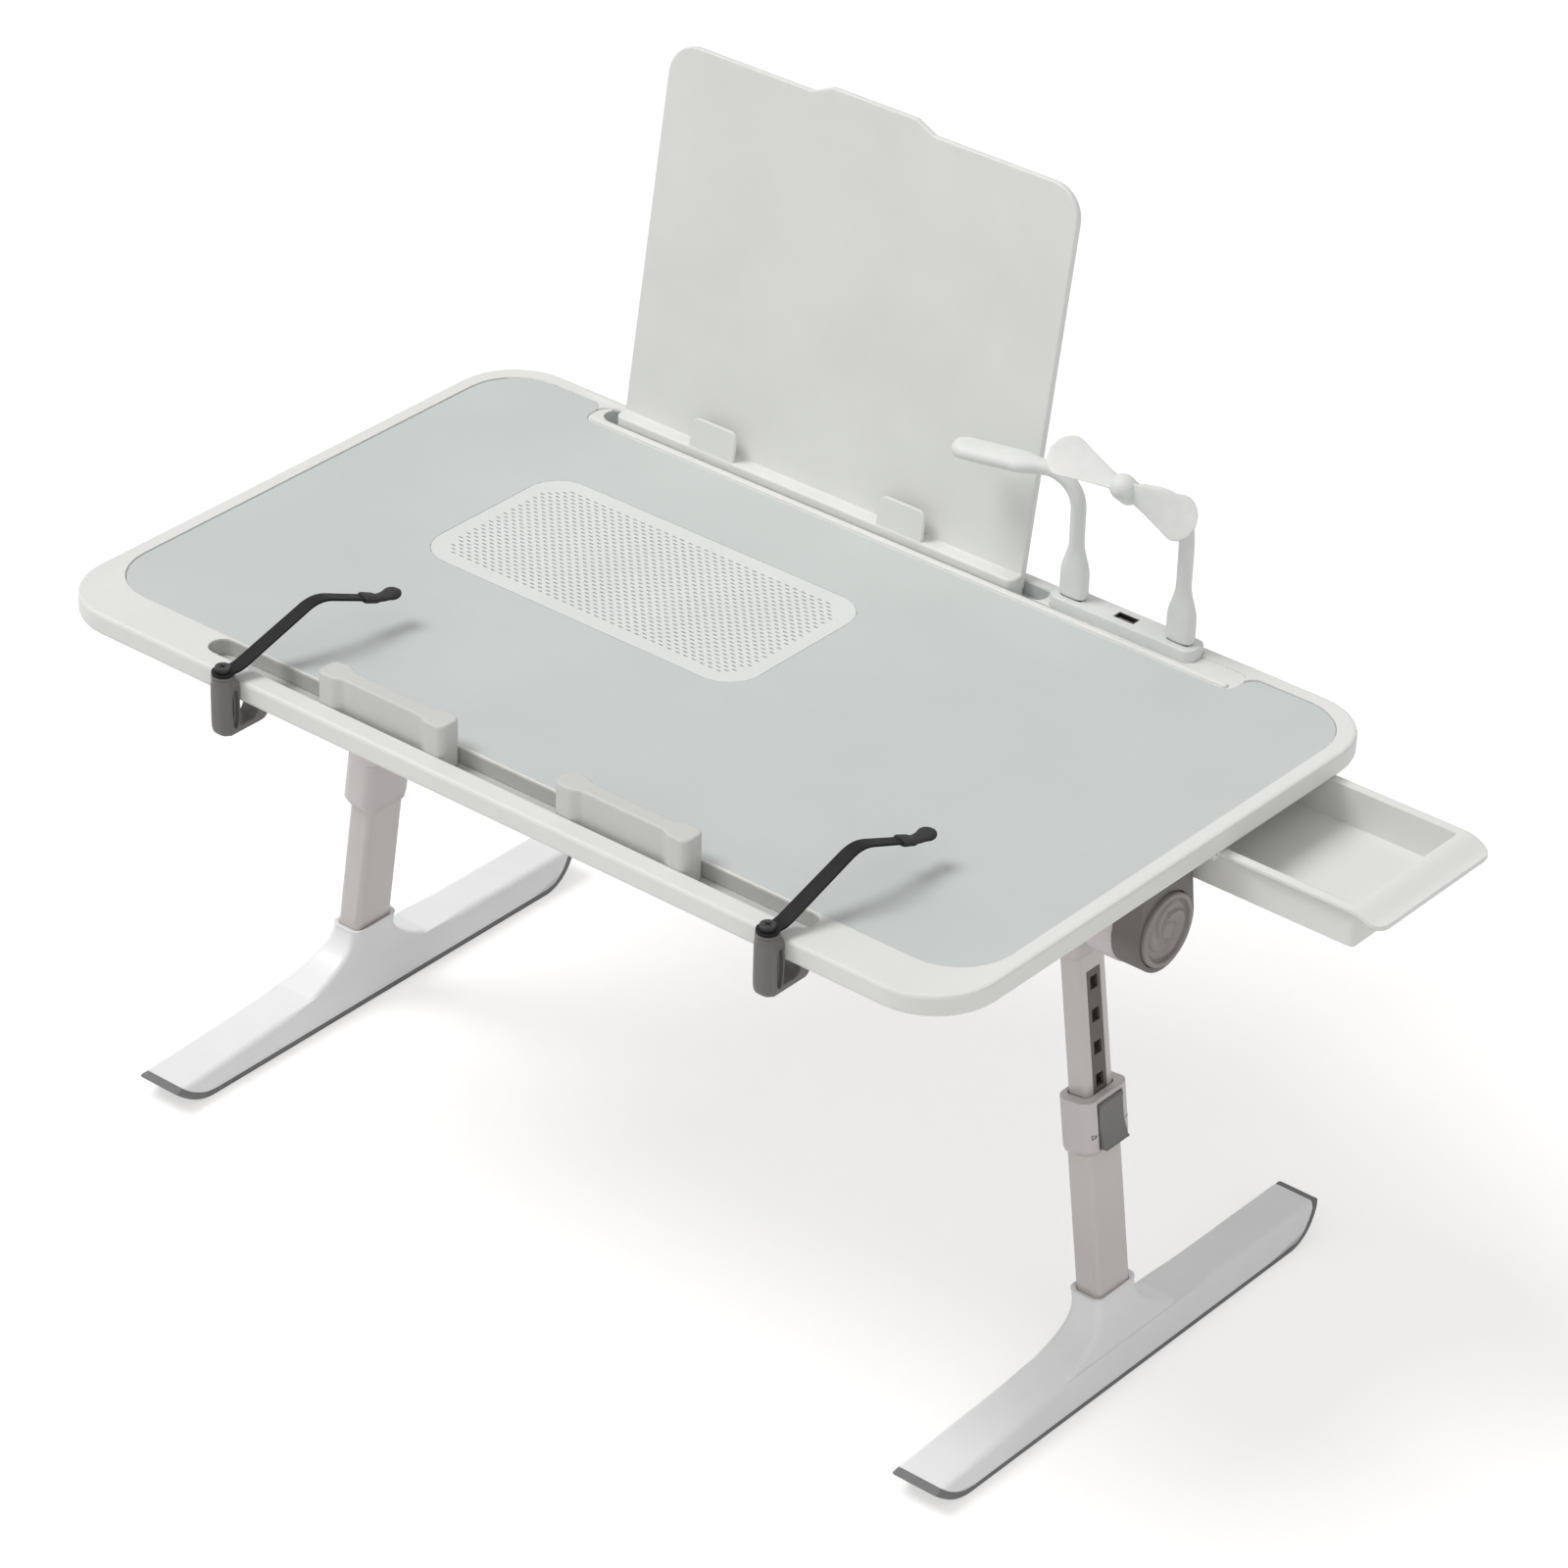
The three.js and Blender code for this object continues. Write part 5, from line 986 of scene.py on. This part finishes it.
class BEDTABLE_OT_clips(bpy.types.Operator):
    """Page clips: bracket, screw, bent arm and soft pad"""

    bl_idname = "bedtable.clips"
    bl_label = "Page clips"

    def execute(self, context):
        for side, (x, degrees) in CLIPS.items():
            bracket = [moved(part, x, CLIP_Y) for part in (self.post(), self.jaw(), self.collar())]
            remade(f"clip_bracket_{side}", bracket, "bracket", 40)
            smoothed(f"arm_screw_{side}", "screw", "steel", 28)
            swivel = Matrix.Rotation(math.radians(degrees), 3, "Z")
            parts = (self.eye(), self.strip(), self.pad())
            *arm, pad = (moved(turned(part, swivel), x, CLIP_Y, ARM_Z) for part in parts)
            remade(f"page_arm_{side}", arm, "arm", 50)
            remade(f"arm_pad_{side}", [pad], "pad", 50)
        return {"FINISHED"}

    def post(self):
        """Column with a round front and an oval pocket in its right side."""
        low, high = 318, 352.6
        middle, tall = (low + high) / 2, high - low
        rings = []
        for sign, turns in ((-1, range(9)), (1, range(8, -1, -1))):
            for k in turns:
                turn = math.radians(90 * (1 - k / 8))
                front, back = (deep * (1 - math.cos(turn)) for deep in (5.6, 1.2))
                centre = (sign * (1.4 + 5.6 * math.sin(turn)), (front - back) / 2, middle)
                size = (12.6 - front - back, tall - 0.55 * (front + back))
                rings.append(oval(Vector(centre), Y, Z, *size, 5.5, 64))
        pocket = [(7.0, 6.7, 25.4), (7.3, 6.2, 24.8), (7.3, 5.4, 24.0), (6.9, 5.0, 23.6)]
        pocket.append((4.6, 4.5, 23.0))
        hole = [(4.5, 2.6, 13.0), (3.2, 2.3, 12.6)]
        for levels, power in ((pocket, 2.8), (hole, 2.6)):
            for x, *size in levels:
                rings.append(oval(Vector((x, 2.1, middle - 1)), Y, Z, *size, power, 64))
        return loft(rings)

    def jaw(self):
        """Hook that passes under the desk and up against it."""
        side = [(-1, 318), *arc(23.3, 323, 5, 270, 360, 6), (28.3, 336.8), (20.3, 336.8)]
        side += [*arc(15.3, 327, 5, 0, -90, 6), (-1, 322.4)]
        return turned(prism(side, -6.2, 6.2, 0.9, 0.9, 3), ALONG_X)

    def collar(self):
        """Grooved ring that the screw sits in."""
        profile = [(350, 6.2), (351.6, 6.5), (352.8, 6.6), (353.1, 6.4), (353.3, 5.9), (353.5, 6.4)]
        profile += [(353.9, 6.6), (354.7, 6.5), (355, 6.2), (355, 5.2), (354.7, 5.0), (354.7, 2.4)]
        return lathe(profile)

    def eye(self):
        """Round end of the arm, under the screw."""
        return prism(circle(6.4, 48), -0.85, 0.85, 0.4, 0.4, 3)

    def strip(self):
        """Flat strip bent at its elbow, narrowing a little to its end."""
        path = arm_path()
        rings = []
        for i, point in enumerate(path):
            along = (path[min(i + 1, len(path) - 1)] - path[max(i - 1, 0)]).normalized()
            up = Vector((-along.y, 0, along.x))
            width = 10 - 2.2 * ease((point.x - 30) / 60)
            rings.append(oval(Vector((point.x, 0, point.y)), Y, up, width, 1.7, 5))
        return loft(rings)

    def pad(self):
        """Rubber sleeve on the arm's end that turns level into a spoon."""
        shares = (0, 0.05, 0.3, 0.44, 0.58, 0.78, 1)
        widths = tuple(zip(shares, (8.4, 10.6, 10.4, 8.2, 8.6, 11.2, 10.6)))
        thicks = tuple(zip(shares, (3, 4.8, 4.4, 3.2, 3.4, 5, 4.6)))
        reach, over, steps = 26, 9, 40
        back = Vector((math.cos(ARM_TILT), 0, -math.sin(ARM_TILT))) * over
        spot = Vector((ARM_TIP.x, 0, ARM_TIP.y)) - back
        rings = []
        for k in range(steps + 1):
            share = k / steps
            angle = ARM_TILT * (1 - 1.15 * ease((share - 0.28) / 0.4))
            along = Vector((math.cos(angle), 0, -math.sin(angle)))
            left = 1 - share
            cap = max(0.04, 1 - ((0.2 - left) / 0.2) ** 2) ** 0.5 if left < 0.2 else 1
            size = (spread(widths, share) * cap, spread(thicks, share) * max(0.3, cap))
            rings.append(oval(spot, Y, along.cross(Y), *size, 2.4))
            spot = spot + along * (reach / steps)
        return loft(rings)


class BEDTABLE_OT_drawer(bpy.types.Operator):
    """Drawer with its rolled handle"""

    bl_idname = "bedtable.drawer"
    bl_label = "Drawer"

    def execute(self, context):
        smoothed("drawer_tray", "rim", "white_shell", 28)
        return {"FINISHED"}


class BEDTABLE_OT_tilt(bpy.types.Operator):
    """Tilt brackets and their swirled release discs"""

    bl_idname = "bedtable.tilt"
    bl_label = "Tilt brackets"

    def execute(self, context):
        disc = moved(self.disc(context.scene.bedtable_sizes), DISC_X, PIVOT.y, PIVOT.z)
        for side, sign in SIDES.items():
            # The brackets wear the painted-shade copy of the taupe
            smoothed(f"tilt_bracket_{side}", "drum", "taupe", 28)
            shell = mirrored(disc, sign)
            remade(f"tilt_button_{side}", [shell], "taupe", 40, f"tilt_disc_{side}")
            smoothed(f"tilt_spring_{side}", "steel", "steel", 60)
        return {"FINISHED"}

    def disc(self, sizes):
        """Disc on its stem, with a groove inside its rim and a swirl of arms round its boss."""
        height, arms = sizes.swirl_height / MM, sizes.swirl_arms
        field, sides, steps = 16.6, 120, 26
        profile = [(-18, 4.9), (-0.2, 4.9), (0, 21.2), (0.4, 21.6), (3.2, 21.6), (4.1, 21.2)]
        profile += [(4.4, 20.6), (4.4, 19.2), (4.0, 18.7), (2.3, 18.2), (2.1, 17.6), (2.5, 17.0)]
        rings = [[(x, y, z) for x, y in circle(radius, sides)] for z, radius in profile]
        for k in range(steps, -1, -1):
            radius = field * k / steps
            band = ease((radius - 4) / 3.5) * ease((field - radius) / 2.4)
            boss = 1.3 * (1 - ease((radius - 4.2) / 1.4))
            ring = []
            for x, y in circle(1, sides):
                turn = (arms * (math.atan2(y, x) / (2 * math.pi) + radius * 0.028)) % 1
                wave = ease(turn / 0.82) if turn < 0.82 else 1 - ease((turn - 0.82) / 0.18)
                out = max(0.05, radius)
                ring.append((x * out, y * out, 2.55 + height * band * wave + boss))
            rings.append(ring)
        return turned(loft(rings), ALONG_X)


def leg_placed(shell, sign):
    """Moves a shell from a leg's own frame, from its fold pin down, to where the leg stands."""
    c, s = math.cos(SPLAY), math.sin(SPLAY)
    turn = Matrix(((c, 0, -s), (0, 1, 0), (s, 0, c)))
    return mirrored(moved(turned(shell, turn), *PIVOT), sign)


LEG_PIECES = (
    ("pivot_arm", "shell", "leg_shell", 28),
    ("fold_pin", "steel", "steel", 28),
    ("leg_head", "shell", "leg_shell", 28),
    ("inner_tube", "tube", "tube_enamel", 40),
    ("notch_strip", "notch", "dark_grey", 28),
    ("lower_tube", "tube", "tube_enamel", 40),
    ("collar", "shell", "leg_shell", 32),
    ("latch_button", "latch", "dark_grey", 28, (1, 0.955, 0.978)),
    ("latch_pin", "steel", "steel", 28),
    ("latch_spring", "steel", "steel", 60),
)


class BEDTABLE_OT_legs(bpy.types.Operator):
    """Telescopic legs with their notch strips, collars and latches"""

    bl_idname = "bedtable.legs"
    bl_label = "Legs"

    def execute(self, context):
        profile = [(258.8, 9), (259.3, 15), (261, 19.5), (264.3, 23), (269, 25), (276, 25.6)]
        profile += [(287, 25.6), (287.9, 25.2), (288.2, 24.6)]
        cover = moved(turned(lathe(profile, 72), ALONG_X), 0, PIVOT.y, PIVOT.z)
        # Painted shade: a thin deep grey sheet at each latch stands for the shade in the gap there
        gap_shade_sheet = moved(prism(rounded_outline(0.5, 22, 0.1, 1), -151.2, -123), 9.25)
        for side, sign in SIDES.items():
            for name, *looks in LEG_PIECES:
                smoothed(f"{name}_{side}", *looks)
            shroud = mirrored(cover, sign)
            shaped(f"pivot_shroud_{side}", [shroud], "shell", f"pivot_{side}")
            shaped(f"latch_seat_{side}", [leg_placed(gap_shade_sheet, sign)], "dark", f"foot_{side}")
        return {"FINISHED"}


FOOT = {
    "front": 171,
    "back": 182,
    "top": 28,
    "bottom": 35,
    "arm": 23,
    "front_tall": 15,
    "back_tall": 22,
    "level": 44,
    "front_flare": 38,
    "back_flare": 30,
    "sole": 4.8,
    "cap": 5.6,
    "sweep": 30,
    "shift": -1.5,
    "rim_width": 21.2,
    "rim_depth": 36,
    "rim_height": 53,
    "rim_corner": 5.3,
}


def bar_top(y):
    """Height of the bar's top, which falls towards both tips."""
    stations = [
        (-FOOT["front"], FOOT["front_tall"]),
        (-FOOT["level"], FOOT["arm"]),
        (FOOT["level"], FOOT["arm"]),
        (FOOT["back"], FOOT["back_tall"]),
    ]
    for (a, first), (b, second) in zip(stations, stations[1:]):
        if y <= b:
            return mix(first, second, (y - a) / (b - a))
    return FOOT["back_tall"]


def foot_underside(raised, cap, drop):
    """(y, z) points under the foot from its back tip to its front tip."""

    def rake(end, sign):
        tip = sign * (end - cap)
        a = Vector((sign * (end - FOOT["sweep"]), raised))
        b = Vector((sign * (end - FOOT["sweep"] / 2 - cap * 0.7), raised))
        c = Vector((tip, bar_top(tip) - drop))
        return bent(a, b, c, 12)

    flat = (140, 130, 120, 110, 101, 92, 84, 76, 70, 65, 61, 58)
    flat += (55, 52, 49, 46, 42, 36.5, 31, 25.5, 20, 14, 8.5, 3)
    middle = [Vector((y, raised)) for y in flat + tuple(-y for y in reversed(flat))]
    return rake(FOOT["back"], 1)[::-1] + middle + rake(FOOT["front"], -1)


def foot_edge(y):
    """Roundness of the bar's top edges, which run sharp into the socket's sides."""
    return 3 * ease((abs(y) - 50) / 34) + 0.06


def foot_half_width(y, z):
    """Half the bar's width at a place on its side; it narrows upward and rounds over at its top."""
    low, high = FOOT["bottom"] / 2, FOOT["top"] / 2
    share = max(0, z - 5) / (FOOT["arm"] - 5)
    wide = mix(low, high, share**1.6)
    soft = foot_edge(y)
    into = min(1, max(0, (z - bar_top(y) + soft) / soft))
    return wide - soft * (1 - math.sqrt(1 - into * into))


def oblong(flat, wide, deep, corner_x, corner_y):
    """Right half of a rounded oblong, with `flat` points on each end, as the bar has."""
    back = [((wide - corner_x) * (j + 0.5) / flat, deep) for j in range(flat)]
    for j in range(8):
        turn = math.radians(90 * (1 - (j + 0.5) / 8))
        across, along = corner_x * (1 - math.cos(turn)), corner_y * (1 - math.sin(turn))
        back.append((wide - across, deep - along))
    sides = [(wide, (deep - corner_y) * 0.98 * (1 - 2 * j / 15)) for j in range(16)]
    return back + sides + [(x, -y) for x, y in reversed(back)]


def closed(half):
    """Ring from the (x, y, z, middle) points of its right half, back tip to front tip."""
    right = [(middle + x, y, z) for x, y, z, middle in half]
    return right + [(middle - x, y, z) for x, y, z, middle in reversed(half)]


class BEDTABLE_OT_feet(bpy.types.Operator):
    """Feet that flare up into the tube, and their soles"""

    bl_idname = "bedtable.feet"
    bl_label = "Feet"

    def execute(self, context):
        shells = [moved(shell, FOOT_X, PIVOT.y) for shell in (self.body(), self.sole())]
        for side, sign in SIDES.items():
            body, sole = (mirrored(shell, sign) for shell in shells)
            remade(f"foot_{side}", [body], "foot", 40)
            remade(f"foot_sole_{side}", [sole], "rubber", 32, f"sole_{side}_skin")
        return {"FINISHED"}

    def body(self):
        """One skin: the bar's sides and top, and the socket that sweeps up out of it."""
        under = foot_underside(FOOT["sole"], FOOT["cap"], 0.3)
        flat = (len(under) - 32) // 2
        arm, rim, shift, lean = FOOT["arm"], FOOT["rim_height"], FOOT["shift"], math.tan(SPLAY)
        rim_x, rim_y, rim_corner = FOOT["rim_width"] / 2, FOOT["rim_depth"] / 2, FOOT["rim_corner"]
        flare_x = (FOOT["top"] - 0.24 - FOOT["rim_width"]) / 2
        rings = []
        for k in range(13):
            half = []
            for y, low in under:
                high = bar_top(y)
                if k <= 7:
                    z = low + max(0, high - foot_edge(y) - low) * k / 7
                else:
                    turn = math.radians(90 * (k - 7) / 5)
                    z = max(low, high - foot_edge(y) * (1 - math.sin(turn)))
                half.append((foot_half_width(y, z), y, z, shift))
            rings.append(closed(half))
        edge = half
        steps = 26
        for k in range(steps + 1):
            z = arm + (rim - 1.4 - arm) * (k / steps) ** 1.3
            share = (z - arm) / (rim - arm)
            left = 1 - share
            deep = rim_y + FOOT["front_flare"] * left**3
            back = (rim_y + FOOT["back_flare"] * left**3) / deep
            wide = rim_x + flare_x * left**2.2
            corners = (rim_corner - 2.3 * left, rim_corner + 4.5 * left**1.5)
            middle = -z * lean * min(1, 0.17 + share) + shift * max(0, 0.83 - share)
            half = []
            for x, y in oblong(flat, wide, deep, *corners):
                y *= back if y > 0 else 1
                half.append((x, y, z - (arm - bar_top(y)) * left**2, middle))
            for part in (0.3, 0.7) if k == 0 else ():
                blend = [[mix(a, b, part) for a, b in zip(*pair)] for pair in zip(edge, half)]
                rings.append(closed([(*point[:3], shift) for point in blend]))
            rings.append(closed(half))
        lip = ((0.1, 1.1), (0.5, 0.9), (0.6, 0.4), (0.3, 0), (-0.5, 0), (-0.9, 0.3))
        levels = [(down, rim_x + out, rim_y + out, rim_corner + out) for out, down in lip]
        levels += [(down, 9.05, 15.1, 4.3) for down in (0.9, 4, 24)]
        for down, wide, deep, corner in levels:
            z = rim - down
            half = [(x, y, z, -z * lean) for x, y in oblong(flat, wide, deep, corner, corner)]
            rings.append(closed(half))
        return loft(rings)

    def sole(self):
        """Rubber band under the bar, turned up into a cap at both tips."""
        outer = foot_underside(0, 0, 1.4)
        inner = foot_underside(FOOT["sole"] - 0.1, FOOT["cap"] - 0.1, 0)
        rings = []
        for low, high in zip(outer, inner):
            half = []
            for back, share in ((2.2, 0.0), (1.0, 0.06), (0.3, 0.25), (0, 0.5), (0, 0.9), (0.3, 1)):
                y, z = mix(low, high, share)
                half.append((foot_half_width(y, z) - back, y, z, FOOT["shift"]))
            rings.append(closed(half))
        return loft(rings)


WARM_WHITE = (1, 0.99, 0.985, 1)
SUNS = {
    "key": ((-1.0, -0.75, 2.1), 28, 1.72, (1.0, 0.995, 0.985)),
    "fill": ((1.3, -0.9, 1.0), 70, 0.45, (1.0, 0.985, 0.97)),
}
CAMERA = {
    "place": (1.79086, -2.21094, 2.02163),
    "azimuth": math.radians(39.0326),
    "elevation": math.radians(31.4152),
    "roll": math.radians(1.5747),
    "lens": 138.82,
    "sensor": 36,
    "reach": 60,
}


class BEDTABLE_OT_stage(bpy.types.Operator):
    """Floor, lamps, world light and camera"""

    bl_idname = "bedtable.stage"
    bl_label = "Stage"

    def execute(self, context):
        scene = context.scene
        scene.view_settings.view_transform = "Standard"
        self.floor(scene.bedtable_colours.backdrop)
        self.world(scene)
        for name, look in SUNS.items():
            self.lamp(name, *look)
        self.camera(scene)
        return {"FINISHED"}

    def seen(self, finish):
        """1 for what the camera, a mirror or a glass sees."""
        path = finish.node("ShaderNodeLightPath")
        glossy, glass = path.out("Is Glossy Ray"), path.out("Is Transmission Ray")
        return path.out("Is Camera Ray").at_least(glossy).at_least(glass)

    def floor(self, backdrop):
        mesh = bpy.data.meshes.new("floor")
        mesh.from_pydata([(x, y, 0) for x, y in rectangle(5, 5)], [], [(0, 1, 2, 3)])
        finish, place = new_finish("floor_white")
        seen = self.seen(finish)
        cloud = finish.noise(place, 300, 3)
        plain = finish.blend(shade(backdrop, 0.84), shade(backdrop, 0.87), cloud)
        base = finish.blend(plain, (0.56, 0.56, 0.56, 1), seen)
        shown = finish.blend((0, 0, 0, 1), WARM_WHITE, seen)
        glow = {"emission_color": shown, "emission_strength": 0.56}
        mesh.materials.append(finish.surface(base, 1.0, specular_ior_level=0.0, **glow))
        floor = new_object("floor", mesh)

    def world(self, scene):
        world = bpy.data.worlds.new("studio")
        scene.world = world
        finish = Finish(world)
        sky = finish.node("ShaderNodeBackground", None, {"Color": WARM_WHITE, "Strength": 0.44})
        plain = finish.node("ShaderNodeBackground", None, {"Color": (1, 1, 1, 1), "Strength": 1.0})
        mixed = finish.node("ShaderNodeMixShader", None, {0: self.seen(finish), 1: sky, 2: plain})
        finish.node("ShaderNodeOutputWorld", None, {"Surface": mixed})

    def lamp(self, name, spot, width, power, tint):
        """An even far light, `width` degrees wide in the sky."""
        light = bpy.data.lights.new(name, "SUN")
        light.angle = math.radians(width)
        light.energy = power
        light.color = tint
        holder = new_object(name, light)
        holder.location = spot
        holder.rotation_euler = (-Vector(spot)).to_track_quat("-Z", "Y").to_euler()

    def camera(self, scene):
        data = bpy.data.cameras.new("camera")
        data.sensor_width = CAMERA["sensor"]
        data.lens = CAMERA["lens"]
        data.clip_end = CAMERA["reach"]
        azimuth, elevation = CAMERA["azimuth"], CAMERA["elevation"]
        level = Vector((-math.sin(azimuth), math.cos(azimuth), 0))
        forward = level * math.cos(elevation) - Z * math.sin(elevation)
        right = Vector((math.cos(azimuth), math.sin(azimuth), 0))
        up = right.cross(forward)
        c, s = math.cos(CAMERA["roll"]), math.sin(CAMERA["roll"])
        turn = Matrix((right * c + up * s, up * c - right * s, -forward)).transposed().to_4x4()
        camera = new_object("camera", data)
        camera.matrix_world = Matrix.Translation(CAMERA["place"]) @ turn
        scene.camera = camera


OPERATORS = (
    BEDTABLE_OT_stage,
    BEDTABLE_OT_desk,
    BEDTABLE_OT_vent,
    BEDTABLE_OT_cooler,
    BEDTABLE_OT_hub,
    BEDTABLE_OT_lamp,
    BEDTABLE_OT_fan,
    BEDTABLE_OT_board,
    BEDTABLE_OT_stops,
    BEDTABLE_OT_clips,
    BEDTABLE_OT_drawer,
    BEDTABLE_OT_tilt,
    BEDTABLE_OT_legs,
    BEDTABLE_OT_feet,
)


class BEDTABLE_PT_pieces(bpy.types.Panel):
    """Lists the pieces, their sizes and their colours"""

    bl_idname = "BEDTABLE_PT_pieces"
    bl_label = "Folding bed table"
    bl_space_type = "VIEW_3D"
    bl_region_type = "UI"
    bl_category = "Bed Table"

    def draw(self, context):
        layout = self.layout
        for operator in OPERATORS:
            layout.operator(operator.bl_idname)
        for group in (context.scene.bedtable_sizes, context.scene.bedtable_colours):
            for name in group.__annotations__:
                layout.prop(group, name)


CLASSES = (TableColours, TableSizes, *OPERATORS, BEDTABLE_PT_pieces)


def register():
    for item in CLASSES:
        bpy.utils.register_class(item)
    bpy.types.Scene.bedtable_colours = PointerProperty(type=TableColours)
    bpy.types.Scene.bedtable_sizes = PointerProperty(type=TableSizes)


def unregister():
    del bpy.types.Scene.bedtable_sizes
    del bpy.types.Scene.bedtable_colours
    for item in reversed(CLASSES):
        bpy.utils.unregister_class(item)


def main():
    """Builds every piece in order."""
    register()
    for operator in OPERATORS:
        group, name = operator.bl_idname.split(".")
        getattr(getattr(bpy.ops, group), name)()


if __name__ == "__main__":
    main()
